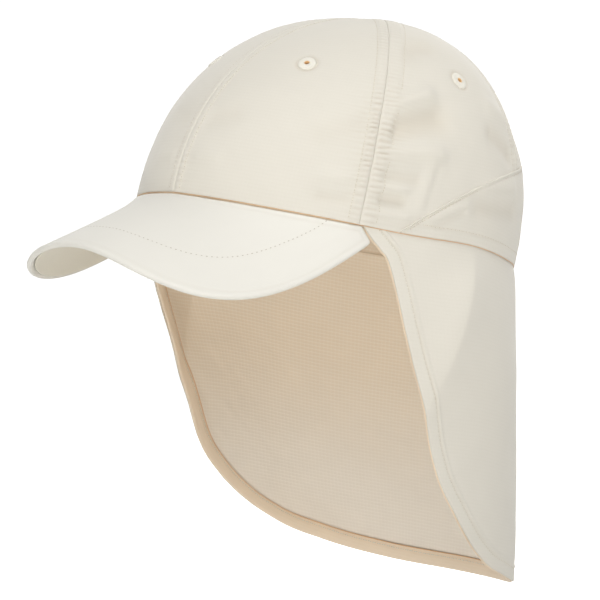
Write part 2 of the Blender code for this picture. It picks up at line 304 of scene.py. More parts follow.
@dataclass(frozen=True)
class CapForm:
    """The smooth form that every cloth piece follows."""

    rim_width: float = 0.173
    rim_length: float = 0.200
    rim_tilt: float = 13.5
    crown_height: float = 0.1066
    apex_setback: float = 0.0073
    panel_tip: float = 0.00015
    yoke_start: float = 72.0
    yoke_rise: float = 29.0
    yoke_curve: float = 2.65
    peak_span: float = 61.0
    peak_projection: float = 0.0610
    peak_width: float = 0.1546
    peak_setback: float = 0.0052
    peak_drop: float = 0.0203
    peak_pitch: float = 0.413
    peak_arch: float = 0.0498
    peak_arch_curve: float = 2.18
    peak_roundness: float = 2.98
    flap_start: float = 61.2
    flap_depth: float = 0.158
    fold_root: float = 0.10

    def tilted(self, x: Array, y: Array, z: Array) -> Array:
        """Turn points of the rim's plane to where the worn cap holds them, front up."""
        tilt = math.radians(self.rim_tilt)
        x, y, z = np.broadcast_arrays(x, y, z)
        ahead = y * math.cos(tilt) + z * math.sin(tilt)
        return np.stack((x, ahead, z * math.cos(tilt) - y * math.sin(tilt)), axis=-1)

    @staticmethod
    def from_front(angle: Array) -> Array:
        """Return angles round the cap as 0 to 180, the same on both sides."""
        return np.abs((np.asarray(angle, float) + 180) % 360 - 180)

    def wave(self, angle: Array) -> Array:
        """Return how far the rim stands above its own plane."""
        return smooth_table(RIM_WAVE, 1, self.from_front(angle))

    def rim(self, angle: Array, drop: Array | float = 0.0, inset: float = 0.0) -> Array:
        """Return points of the rim.

        Args:
            angle: Angles round the cap.
            drop: How far below the rim's plane.
            inset: How far inside the rim's oval.

        Returns:
            The points.
        """
        turn = np.radians(angle)
        x = (self.rim_width / 2 - inset) * np.sin(turn)
        y = -(self.rim_length / 2 - inset) * np.cos(turn)
        return self.tilted(x, y, self.wave(angle) - drop)

    def profile(self, angle: Array, column: int) -> Array:
        """Blend a column of the crown's profile between front, side and back."""
        cosine = np.cos(np.radians(angle))
        end = np.where(cosine > 0, CROWN_PROFILE["front"][column], CROWN_PROFILE["back"][column])
        return cosine ** 2 * end + (1 - cosine ** 2) * CROWN_PROFILE["side"][column]

    def spread(self, angle: Array, climb: Array) -> Array:
        """Return how far out the crown is, as a share of the rim."""
        rise = np.radians(climb)
        bulge = 1 + self.profile(angle, 2) * np.sin(2 * rise)
        return np.maximum(np.cos(rise), 0.0) ** self.profile(angle, 0) * bulge

    def crown(self, angle: Array, climb: Array) -> Array:
        """Return points of the crown's outer face."""
        turn = np.radians(angle)
        spread = self.spread(angle, climb)
        lift = np.sin(np.radians(climb)) ** self.profile(angle, 1)
        x = self.rim_width / 2 * np.sin(turn) * spread
        y = -self.rim_length / 2 * np.cos(turn) * spread + self.apex_setback * lift
        return self.tilted(x, y, self.crown_height * lift + self.wave(angle) * (1 - lift))

    def plan_radius(self, angle: Array) -> Array:
        """Return the rim's half size in a direction."""
        turn = np.radians(angle)
        return np.hypot(self.rim_width / 2 * np.sin(turn), self.rim_length / 2 * np.cos(turn))

    def tip_climb(self, angle: Array) -> Array:
        """Return the climb at which a panel's tip ends, just short of the apex."""
        share = self.panel_tip / self.plan_radius(angle)
        return np.degrees(np.arccos(share ** (1 / self.profile(angle, 0))))

    def yoke_climb(self, angle: Array) -> Array:
        """Return the climb of the yoke's upper seam, 0 in front of the yoke."""
        way = np.maximum(self.from_front(angle) - self.yoke_start, 0.0) / (180 - self.yoke_start)
        return self.yoke_rise * (1 - (1 - way) ** self.yoke_curve)

    def peak_edge(self, share: Array) -> Array:
        """Return points of the peak's free edge, share from -1 at one end to 1 at the other."""
        front = self.rim(0.0)
        root = self.rim(self.peak_span)[1] + self.peak_setback
        half_width = self.peak_width / 2
        reach = root - front[1] + self.peak_projection
        turn = np.radians(90 * np.asarray(share, float))
        across = np.abs(np.sin(turn)) / half_width
        along = np.abs(np.cos(turn)) / reach
        power = self.peak_roundness
        radius = (across ** power + along ** power) ** (-1 / power)
        x = radius * np.sin(turn)
        y = root - radius * np.cos(turn)
        arch = self.peak_arch * (np.abs(x) / half_width) ** self.peak_arch_curve
        z = front[2] - self.peak_drop + self.peak_pitch * (y - (root - reach)) - arch
        return np.stack([x, y, z], axis=-1)

    def peak(self, share: Array, way: Array) -> Array:
        """Return points of the peak's upper face, way from 0 at the rim to 1 at its edge."""
        share, way = np.broadcast_arrays(share, way)
        root = self.rim(self.peak_span * share, drop=0.4 * MM)
        return root + (self.peak_edge(share) - root) * way[..., None]

    def fold_rise(self, angle: Array, share: Array) -> Array:
        """Return how far the flap's folds stand out."""
        rise = np.zeros(np.broadcast(angle, share).shape)
        for top, foot, foot_depth, half_width, height in FLAP_FOLDS:
            way = np.clip(share / foot_depth, 0, 1)
            centre = top + (foot - top) * way
            arc = np.radians(self.from_front(angle) - centre) * self.rim_width / 2
            fade = (1 - way ** 3) * (1 - np.exp(-np.maximum(share, 0) / self.fold_root))
            rise = rise + height * fade * hump(arc, half_width)
        return rise

    def flap(self, angle: Array, depth: Array) -> Array:
        """Return points of the flap's outer face at a depth straight below the rim."""
        angle, depth = np.broadcast_arrays(angle, depth)
        turn = np.radians(angle)
        share = np.clip(depth / self.flap_depth, 0, 1)
        squareness = smooth_table(FLAP_PLAN, 2, share)
        half_width = self.rim_width / 2 * smooth_table(FLAP_PLAN, 1, share)
        half_length = abs(self.rim(180.0)[1]) * smooth_table(FLAP_PLAN, 3, share)
        side = np.sign(np.sin(turn)) * np.abs(np.sin(turn)) ** squareness
        proud = 1 + self.fold_rise(angle, share) * 2 / self.rim_width
        z = self.rim(angle)[..., 2] - 0.3 * MM - depth
        x = half_width * side * proud
        return np.stack([x, -half_length * np.cos(turn) * proud, z], axis=-1)

    def flap_length(self, angle: Array) -> Array:
        """Return how far the flap hangs below the rim."""
        return self.flap_depth * smooth_table(FLAP_EDGE, 1, self.from_front(angle))


# Finishes

def blank_material(name: str) -> tuple[bpy.types.Material, bpy.types.NodeTree, bpy.types.Node]:
    """Start a material.

    Args:
        name: The material's name.

    Returns:
        The material, its node tree and its shader.
    """
    material = bpy.data.materials.new(name)
    material.use_nodes = True
    return material, material.node_tree, material.node_tree.nodes["Principled BSDF"]


@dataclass(frozen=True)
class WovenCloth:
    """Plain-woven cloth with a grid of thicker threads, as dyed and pressed."""

    name: str
    colour: str
    line_colour: str
    grid: float = 1.8 * MM
    cross_lines: float = 0.5
    line_share: float = 0.25
    mottle: float = 0.03
    relief: float = 0.06 * MM
    roughness: float = 0.85
    sheen: float = 0.25
    # Painted shade in creases: how far the colour goes, and the warm dark tan it goes towards
    painted_shade_share: float = 0.42
    painted_shade_colour: str = "#aa9576"
    # Painted light: a paler colour further along the cloth, and where the change starts and ends
    painted_light_colour: str | None = None
    painted_light_start: float = 0.045
    painted_light_end: float = 0.13
    weave: float = 0.9 * MM
    weave_share: float = 0.35
    slub_share: float = 0.5
    slub_scale: float = 900.0
    blotch_scale: float = 70.0
    bump_strength: float = 0.8
    sheen_roughness: float = 0.5
    ior: float = 1.46

    def lines(self, tree: bpy.types.NodeTree, place: bpy.types.NodeSocket, period: float,
              sharpness: float) -> bpy.types.NodeSocket:
        """Draw soft lines that repeat along one direction.

        Args:
            tree: The material's node tree.
            place: Where on the cloth, in metres.
            period: Distance from line to line, in metres.
            sharpness: How narrow the lines are, 1 for a plain wave.

        Returns:
            A socket from 0 between the lines to 1 on them.
        """
        turns = add_node(tree, "ShaderNodeMath", {"operation": "MULTIPLY"},
                         {0: place, 1: math.tau / period})
        wave = add_node(tree, "ShaderNodeMath", {"operation": "SINE"}, {0: turns.outputs[0]})
        lifted = add_node(tree, "ShaderNodeMath", {"operation": "MULTIPLY_ADD"},
                          {0: wave.outputs[0], 1: 0.5, 2: 0.5})
        narrow = add_node(tree, "ShaderNodeMath", {"operation": "POWER"},
                          {0: lifted.outputs[0], 1: sharpness})
        return narrow.outputs[0]

    def make(self) -> bpy.types.Material:
        """Return the finished material."""
        material, tree, shader = blank_material(self.name)
        place = add_node(tree, "ShaderNodeUVMap", {"uv_map": UV_NAME})
        split = add_node(tree, "ShaderNodeSeparateXYZ", None, {0: place.outputs["UV"]})
        level = self.lines(tree, split.outputs["Y"], self.grid, 2.0)
        upright = self.lines(tree, split.outputs["X"], self.grid, 2.0)
        grid = add_node(tree, "ShaderNodeMath", {"operation": "MULTIPLY_ADD"},
                        {0: upright, 1: self.cross_lines, 2: level})
        # Threads of about 0.45 mm, drawn twice as coarse so that a close look shows them
        warp = self.lines(tree, split.outputs["X"], self.weave, 1.0)
        weft = self.lines(tree, split.outputs["Y"], self.weave, 1.0)
        weave = add_node(tree, "ShaderNodeMath", {"operation": "MULTIPLY"}, {0: warp, 1: weft})
        blotch = add_node(tree, "ShaderNodeTexNoise", None,
                          {"Vector": place.outputs["UV"], "Scale": self.blotch_scale,
                           "Detail": 3.0})
        slub = add_node(tree, "ShaderNodeTexNoise", None,
                        {"Vector": place.outputs["UV"], "Scale": self.slub_scale, "Detail": 2.0})
        share = add_node(tree, "ShaderNodeMath", {"operation": "MULTIPLY"},
                         {0: grid.outputs[0], 1: self.line_share})
        plain: tuple | bpy.types.NodeSocket = linear(self.colour)
        if self.painted_light_colour:
            # Painted light: paler further along the cloth, down the flap towards its hem where
            # light from below reaches; deeper nearer the rim, painted shade under the crown
            fade = add_node(tree, "ShaderNodeMapRange", {"interpolation_type": "SMOOTHSTEP"},
                            {"Value": split.outputs["Y"], "From Min": self.painted_light_start,
                             "From Max": self.painted_light_end})
            plain = add_node(tree, "ShaderNodeMix", {"data_type": "RGBA"},
                             {0: fade.outputs[0], 6: linear(self.colour),
                              7: linear(self.painted_light_colour)}).outputs[2]
        lined = add_node(tree, "ShaderNodeMix", {"data_type": "RGBA"},
                         {0: share.outputs[0], 6: plain, 7: linear(self.line_colour)})
        uneven = add_node(tree, "ShaderNodeMapRange", None,
                          {"Value": blotch.outputs[0], "To Min": 1 - self.mottle,
                           "To Max": 1 + self.mottle})
        # Painted shade in the creases: the colour is mixed towards a warm dark tan there, warm like
        # the light of the beige layer behind that glows through
        painted_shade = add_node(tree, "ShaderNodeAttribute", {"attribute_name": "painted_shade"})
        depth = add_node(tree, "ShaderNodeMath", {"operation": "MULTIPLY"},
                         {0: painted_shade.outputs["Fac"], 1: self.painted_shade_share})
        shade_mixed = add_node(tree, "ShaderNodeMix", {"data_type": "RGBA"},
                           {0: depth.outputs[0], 6: lined.outputs[2],
                            7: linear(self.painted_shade_colour)})
        tinted = add_node(tree, "ShaderNodeVectorMath", {"operation": "SCALE"},
                          {0: shade_mixed.outputs[2], "Scale": uneven.outputs[0]})
        tree.links.new(tinted.outputs[0], shader.inputs["Base Color"])
        height = add_node(tree, "ShaderNodeMath", {"operation": "MULTIPLY_ADD"},
                          {0: weave.outputs[0], 1: self.weave_share, 2: grid.outputs[0]})
        rough = add_node(tree, "ShaderNodeMath", {"operation": "MULTIPLY_ADD"},
                         {0: slub.outputs[0], 1: self.slub_share, 2: height.outputs[0]})
        bump = add_node(tree, "ShaderNodeBump", None,
                        {"Strength": self.bump_strength, "Distance": self.relief,
                         "Height": rough.outputs[0]})
        tree.links.new(bump.outputs[0], shader.inputs["Normal"])
        shader.inputs["Roughness"].default_value = self.roughness
        shader.inputs["Sheen Weight"].default_value = self.sheen
        shader.inputs["Sheen Roughness"].default_value = self.sheen_roughness
        shader.inputs["IOR"].default_value = self.ior
        return material


@dataclass(frozen=True)
class SewingThread:
    """Twisted polyester thread, smooth enough to catch a little light."""

    name: str
    colour: str
    dip_shade_colour: str
    roughness: float = 0.55
    sheen: float = 0.15
    twist_scale: float = 2500.0
    twist_depth: float = 0.05 * MM

    def make(self) -> bpy.types.Material:
        """Return the finished material."""
        material, tree, shader = blank_material(self.name)
        # Painted shade: each stitch is painted darker at its ends, where the thread dips through
        # the needle's hole; the eyelet's thread is painted tan at its hole
        end = add_node(tree, "ShaderNodeAttribute", {"attribute_name": "dip_shade"})
        mixed = add_node(tree, "ShaderNodeMix", {"data_type": "RGBA"},
                         {0: end.outputs["Fac"], 6: linear(self.colour),
                          7: linear(self.dip_shade_colour)})
        tree.links.new(mixed.outputs[2], shader.inputs["Base Color"])
        place = add_node(tree, "ShaderNodeTexCoord")
        twist = add_node(tree, "ShaderNodeTexNoise", None,
                         {"Vector": place.outputs["Object"], "Scale": self.twist_scale})
        bump = add_node(tree, "ShaderNodeBump", None,
                        {"Strength": 0.4, "Distance": self.twist_depth,
                         "Height": twist.outputs[0]})
        tree.links.new(bump.outputs[0], shader.inputs["Normal"])
        shader.inputs["Roughness"].default_value = self.roughness
        shader.inputs["Sheen Weight"].default_value = self.sheen
        return material


@dataclass(frozen=True)
class LitFloor:
    """Matt white acrylic floor, lit from below all round the middle."""

    name: str = "matt_white_acrylic"
    colour: str = "#d6d5d2"
    dark_radius: float = 0.7
    lit_radius: float = 1.7
    glow: float = 1.0

    def make(self) -> bpy.types.Material:
        """Return the finished material."""
        material, tree, shader = blank_material(self.name)
        shader.inputs["Base Color"].default_value = linear(self.colour)
        shader.inputs["Roughness"].default_value = 0.9
        shader.inputs["Specular IOR Level"].default_value = 0.1
        place = add_node(tree, "ShaderNodeTexCoord")
        flat = add_node(tree, "ShaderNodeVectorMath", {"operation": "MULTIPLY"},
                        {0: place.outputs["Object"], 1: (1.0, 1.0, 0.0)})
        radius = add_node(tree, "ShaderNodeVectorMath", {"operation": "LENGTH"},
                          {0: flat.outputs[0]})
        glow = add_node(tree, "ShaderNodeMapRange", {"interpolation_type": "SMOOTHSTEP"},
                        {"Value": radius.outputs["Value"], "From Min": self.dark_radius,
                         "From Max": self.lit_radius, "To Min": 0.0, "To Max": self.glow})
        shader.inputs["Emission Color"].default_value = (1.0, 1.0, 1.0, 1.0)
        tree.links.new(glow.outputs[0], shader.inputs["Emission Strength"])
        return material


# Dyed cotton and polyester: matt and even, its grid only just seen
CREAM_CLOTH = WovenCloth("woven_cream_cloth", "#dad5c9", "#d3cdbf", line_share=0.16,
                         relief=0.012 * MM, mottle=0.02)
# The same cloth pressed flat over the peak: smoother and a little lighter
PEAK_CLOTH = WovenCloth("pressed_cream_cloth", "#e1ded5", "#e3dfd4", line_share=0.1,
                        relief=0.01 * MM, mottle=0.012)
# Thin cotton under the peak, painted darker and warmer than the cover: painted shade for the
# underside, which faces down
SHADED_LINING_CLOTH = WovenCloth("shaded_peak_lining_cloth", "#dcd6c5", "#ded7c4", line_share=0.2,
                          relief=0.015 * MM, mottle=0.015)
# Ripstop nylon: thicker pale threads that the eye reads as small squares; painted light makes it
# paler down the flap
BEIGE_CLOTH = WovenCloth("ripstop_beige_cloth", "#e9d8c0", "#f4ecdf", line_share=0.28,
                         relief=0.04 * MM, painted_light_colour="#e9dfd0")
# The beige cloth folded on itself: deeper in colour, its grid pressed out
HEM_CLOTH = WovenCloth("folded_beige_cloth", "#e8d4ba", "#efe2cf", line_share=0.15,
                       relief=0.015 * MM)
# The beige cloth's turned edge: a thin tan line
EDGE_CLOTH = WovenCloth("tan_cloth_edge", "#dcb48b", "#e2bd97", line_share=0.3, relief=0.01 * MM)
# Polyester threads: they catch a little light; painted shade darkens them where they dip into the
# cloth, and the peak's thread is painted dark so that its stitches show as dots of painted shade
SEAM_THREAD = SewingThread("cream_sewing_thread", "#dcd6c7", "#b3a48c")
PEAK_THREAD = SewingThread("peak_sewing_thread", "#b3aa99", "#8d8371")
EYELET_THREAD = SewingThread("white_embroidery_thread", "#e4e0d4", "#e6bd86")


class Finish(Enum):
    """The finishes of the cap's pieces."""

    CREAM = CREAM_CLOTH
    PEAK = PEAK_CLOTH
    SHADED_LINING = SHADED_LINING_CLOTH
    BEIGE = BEIGE_CLOTH
    HEM = HEM_CLOTH
    EDGE = EDGE_CLOTH
    SEAM_THREAD = SEAM_THREAD
    PEAK_THREAD = PEAK_THREAD
    EYELET_THREAD = EYELET_THREAD


class Wardrobe:
    """Makes each finish once and hands it out."""

    def __init__(self) -> None:
        """Start with nothing made."""
        self.made: dict[Finish, bpy.types.Material] = {}

    def get(self, finish: Finish) -> bpy.types.Material:
        """Return the material of a finish."""
        if finish not in self.made:
            self.made[finish] = finish.value.make()
        return self.made[finish]


WARDROBE = Wardrobe()


# Pieces

def mark_points(mesh: bpy.types.Mesh, name: str, values: Array) -> None:
    """Store a value at each of a mesh's points, for its finish to read."""
    layer = mesh.attributes.new(name, "FLOAT", "POINT")
    layer.data.foreach_set("value", np.ravel(values).astype(np.float32))


def select_only(*pieces: bpy.types.Object) -> None:
    """Select these pieces and nothing else, the first one active."""
    bpy.ops.object.select_all(action="DESELECT")
    for piece in pieces:
        piece.select_set(True)
    bpy.context.view_layer.objects.active = pieces[0]


def seat(piece: bpy.types.Object, slot: str, *nodes: str) -> bpy.types.Object:
    """Let a finished piece ride on the cap and stand for its solids.

    Args:
        piece: The finished piece.
        slot: The record's material slot for its finish; not used.
        nodes: The CAD nodes that it replaces.

    Returns:
        The same piece.
    """
    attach(piece, "root")
    if nodes:
        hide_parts(*nodes)
    LOG.info("%s: %d triangles", piece.name, sum(len(p.vertices) - 2 for p in piece.data.polygons))
    return piece


def cloth_face(name: str, points: Array, uv: Array, finish: Finish, flip: bool) -> bpy.types.Object:
    """Shape a grid of faces into one side of a cloth.

    Args:
        name: The piece's name.
        points: Rows by columns by 3.
        uv: Rows by columns by 2, places on the cloth in metres.
        finish: The cloth's finish on this side.
        flip: Whether the faces have to be turned over.

    Returns:
        The side, as an object.
    """
    rows, columns = points.shape[:2]
    bpy.ops.object.select_all(action="DESELECT")
    bpy.ops.mesh.primitive_grid_add(x_subdivisions=columns - 1, y_subdivisions=rows - 1, size=1.0)
    side = bpy.context.object
    side.name = name
    mesh = side.data
    mesh.vertices.foreach_set("co", points.reshape(-1).astype(np.float32))
    corner = np.empty(len(mesh.loops), np.int32)
    mesh.loops.foreach_get("vertex_index", corner)
    layer = mesh.uv_layers[0]
    layer.name = UV_NAME
    layer.data.foreach_set("uv", uv.reshape(-1, 2)[corner].reshape(-1).astype(np.float32))
    if flip:
        mesh.flip_normals()
    mesh.materials.append(WARDROBE.get(finish))
    mesh.update()
    return side


def cut_faces(piece: bpy.types.Object, drop: Array) -> None:
    """Delete faces from one side of a cloth.

    Args:
        piece: The side.
        drop: For each of its faces, whether it goes.
    """
    select_only(piece)
    bpy.ops.object.mode_set(mode="EDIT")
    bpy.ops.mesh.select_mode(type="FACE")
    bpy.ops.mesh.select_all(action="DESELECT")
    bpy.ops.object.mode_set(mode="OBJECT")
    piece.data.polygons.foreach_set("select", drop.reshape(-1))
    bpy.ops.object.mode_set(mode="EDIT")
    bpy.ops.mesh.delete(type="FACE")
    bpy.ops.object.mode_set(mode="OBJECT")


def cloth_shell(name: str, outer: Array, inner: Array, uv: Array, finishes: tuple[Finish, Finish],
                flip: bool = False, hole: Array | None = None,
                painted_shade: Array | None = None) -> bpy.types.Object:
    """Sew an outer and an inner side together along their shared border.

    Args:
        name: The piece's name.
        outer: The outer side's points.
        inner: The inner side's points, the same as the outer's along the border.
        uv: Places on the cloth, in metres.
        finishes: The finishes of the outer and the inner side.
        flip: Whether the outer side's faces have to be turned over.
        hole: For each face of the grid, whether it is left out for a hole.
        painted_shade: Shade painted on the outer side at each point, 0 to 1, in creases, grooves
            and stitch rows.

    Returns:
        One closed piece.
    """
    front = cloth_face(name, outer, uv, finishes[0], flip)
    if painted_shade is not None:
        mark_points(front.data, "painted_shade", np.clip(painted_shade, 0, 1))
    back = cloth_face(name + "_inside", inner, uv, finishes[1], not flip)
    if hole is not None:
        cut_faces(front, hole)
        cut_faces(back, hole)
    select_only(front, back)
    bpy.ops.object.join()
    bpy.ops.object.mode_set(mode="EDIT")
    bpy.ops.mesh.select_mode(type="EDGE")
    bpy.ops.mesh.select_all(action="SELECT")
    bpy.ops.mesh.remove_doubles(threshold=1e-7)
    if hole is not None:
        bpy.ops.mesh.select_all(action="DESELECT")
        bpy.ops.mesh.select_non_manifold()
        bpy.ops.mesh.bridge_edge_loops()
    bpy.ops.mesh.select_all(action="DESELECT")
    bpy.ops.mesh.select_mode(type="VERT")
    bpy.ops.object.mode_set(mode="OBJECT")
    bpy.ops.object.shade_smooth()
    return front


def walled(points: Array, normals: Array, wall: Array | float, border: Array,
           radius: float) -> tuple[Array, Array]:
    """Give a cloth's outer face its wall and a rounded border.

    Args:
        points: The outer face.
        normals: Its outward normals.
        wall: The cloth's thickness.
        border: Each point's distance from the border.
        radius: The radius of the rounding.

    Returns:
        The outer and the inner side.
    """
    wall = np.broadcast_to(wall, border.shape)
    border = border.copy()
    border[[0, -1], :] = 0.0
    border[:, [0, -1]] = 0.0
    fall = round_in(border, radius) * (wall / 2 / radius)
    return points - normals * fall[..., None], points - normals * (wall - fall)[..., None]


def tube(name: str, path: Array, radius: float, finish: Finish,
         closed: bool = False) -> bpy.types.Object:
    """Make a thin rounded edge along a path, as a curve turned into a mesh.

    Args:
        name: The piece's name.
        path: The path's points.
        radius: The edge's radius.
        finish: Its finish.
        closed: Whether the path runs back into its start.

    Returns:
        The piece.
    """
    curve = bpy.data.curves.new(name, "CURVE")
    curve.dimensions = "3D"
    curve.bevel_depth = radius
    curve.bevel_resolution = 2
    curve.use_fill_caps = True
    spline = curve.splines.new("POLY")
    spline.points.add(len(path) - 1)
    spline.points.foreach_set("co", np.c_[path, np.ones(len(path))].reshape(-1))
    spline.use_cyclic_u = closed
    piece = bpy.data.objects.new(name, curve)
    bpy.context.scene.collection.objects.link(piece)
    select_only(piece)
    bpy.ops.object.convert(target="MESH")
    piece = bpy.context.object
    bpy.ops.object.mode_set(mode="EDIT")
    bpy.ops.mesh.select_all(action="SELECT")
    bpy.ops.mesh.remove_doubles(threshold=1e-6)
    bpy.ops.object.mode_set(mode="OBJECT")
    mesh = piece.data
    if not mesh.uv_layers:
        mesh.uv_layers.new(name=UV_NAME)
    mesh.uv_layers[0].name = UV_NAME
    mesh.materials.clear()
    mesh.materials.append(WARDROBE.get(finish))
    bpy.ops.object.shade_smooth()
    return piece


class Stitching:
    """Rows of stitches, each one modelled once and copied along its row."""

    def __init__(self, length: float = 2.0 * MM, pitch: float = 2.5 * MM, width: float = 0.5 * MM,
                 height: float = 0.36 * MM) -> None:
        """Model one stitch.

        Args:
            length: Length of the thread that shows in a stitch.
            pitch: Distance from stitch to stitch.
            width: The thread's width.
            height: The thread's height over its own middle.
        """
        self.pitch = pitch
        bpy.ops.object.select_all(action="DESELECT")
        bpy.ops.mesh.primitive_uv_sphere_add(segments=7, ring_count=5, radius=0.5)
        model = bpy.context.object
        points = np.array([v.co for v in model.data.vertices])
        # The primitive lists its faces in another order on each run, so they are sorted
        self.faces = sorted(list(p.vertices) for p in model.data.polygons)
        bpy.data.objects.remove(model, do_unlink=True)
        # The sphere's poles become the stitch's two ends
        x, y, z = points.T
        self.shape = np.stack([z * length, x * width, y * height], 1)
        # Where the painted shade darkens the stitch, towards its two ends
        self.dip_shade = smooth_step(0.2, 0.42, np.abs(z))
        self.points: list[Array] = []

    def row(self, path: Array, piece: bpy.types.Object, sink: float = 0.03 * MM,
            seed: int = 1) -> None:
        """Lay one row of stitches on a piece.

        Args:
            path: Points close to the piece's face, along the row.
            piece: The piece that the row is sewn through.
            sink: How far each stitch's middle lies under the face.
            seed: Seed of the small unevenness of a sewn row.
        """
        tree = BVHTree.FromPolygons([v.co for v in piece.data.vertices],
                                    [p.vertices for p in piece.data.polygons])
        places = resampled(path, self.pitch)
        ahead = np.gradient(places, axis=0) if len(places) > 1 else np.ones_like(places)
        random = np.random.default_rng(seed)
        for place, along in zip(places, ahead):
            found, normal, _, _ = tree.find_nearest(Vector(place))
            tangent = Vector(along)
            tangent = (tangent - tangent.project(normal)).normalized()
            side = normal.cross(tangent)
            sway = random.normal(0, 0.03)
            tangent = (tangent + side * sway).normalized()
            side = normal.cross(tangent)
            turn = np.array([tangent, side, normal])
            middle = np.array(found - normal * sink)
            self.points.append(self.shape * random.uniform(0.93, 1.05) @ turn + middle)

    def build(self, name: str, finish: Finish) -> bpy.types.Object:
        """Join the rows into one piece.

        Args:
            name: The piece's name.
            finish: The thread's finish.

        Returns:
            The piece.
        """
        count = len(self.shape)
        points = np.concatenate(self.points)
        faces = [[i + k * count for i in face]
                 for k in range(len(self.points)) for face in self.faces]
        mesh = bpy.data.meshes.new(name)
        mesh.from_pydata(points.tolist(), [], faces)
        mark_points(mesh, "dip_shade", np.tile(self.dip_shade, len(self.points)))
        mesh.materials.append(WARDROBE.get(finish))
        mesh.shade_smooth()
        piece = bpy.data.objects.new(name, mesh)
        bpy.context.scene.collection.objects.link(piece)
        select_only(piece)
        bpy.ops.object.mode_set(mode="EDIT")
        bpy.ops.mesh.select_all(action="SELECT")
        bpy.ops.mesh.normals_make_consistent(inside=False)
        bpy.ops.object.mode_set(mode="OBJECT")
        return piece


# start angle, start climb, end angle, end climb, half width, height
CROWN_CREASES: Table = (
    (64.0, 32.5, 75.0, 38.0, 0.0050, 0.00240),
    (63.5, 25.5, 78.0, 31.0, 0.0082, -0.00270),
    (64.0, 19.0, 80.0, 21.0, 0.0052, 0.00225),
    (63.5, 12.5, 74.0, 13.0, 0.0032, -0.00105),
    (63.5, 9.8, 71.0, 10.0, 0.0024, 0.00105),
    (63.5, 6.6, 70.5, 7.0, 0.0028, -0.00165),
    (64.0, 3.2, 73.0, 3.4, 0.0026, 0.00120),
    (80.5, 17.0, 79.0, 7.0, 0.0013, -0.00038),
    (78.2, 18.0, 76.8, 6.0, 0.0032, 0.00075),
    (83.5, 3.2, 92.0, 7.2, 0.0018, -0.00075),
    (82.0, 4.6, 92.5, 9.0, 0.0028, 0.00090),
    (98.0, 9.0, 118.0, 12.0, 0.0050, -0.00135),
    (100.0, 14.5, 116.0, 17.5, 0.0050, 0.00120),
    (64.0, 52.0, 76.0, 58.0, 0.0065, -0.00150),
    (103.0, 30.0, 114.0, 26.0, 0.0055, -0.00165),
    (104.0, 40.0, 116.0, 37.0, 0.0055, 0.00135),
    (44.0, 20.0, 56.0, 25.0, 0.0065, -0.00070),
    (46.0, 9.5, 56.0, 10.5, 0.0036, 0.00080),
    (47.0, 4.5, 56.0, 5.0, 0.0030, -0.00090),
    (4.5, 20.0, 14.0, 22.0, 0.0055, -0.00070),
    (5.0, 10.0, 13.0, 10.5, 0.0040, 0.00060),
)


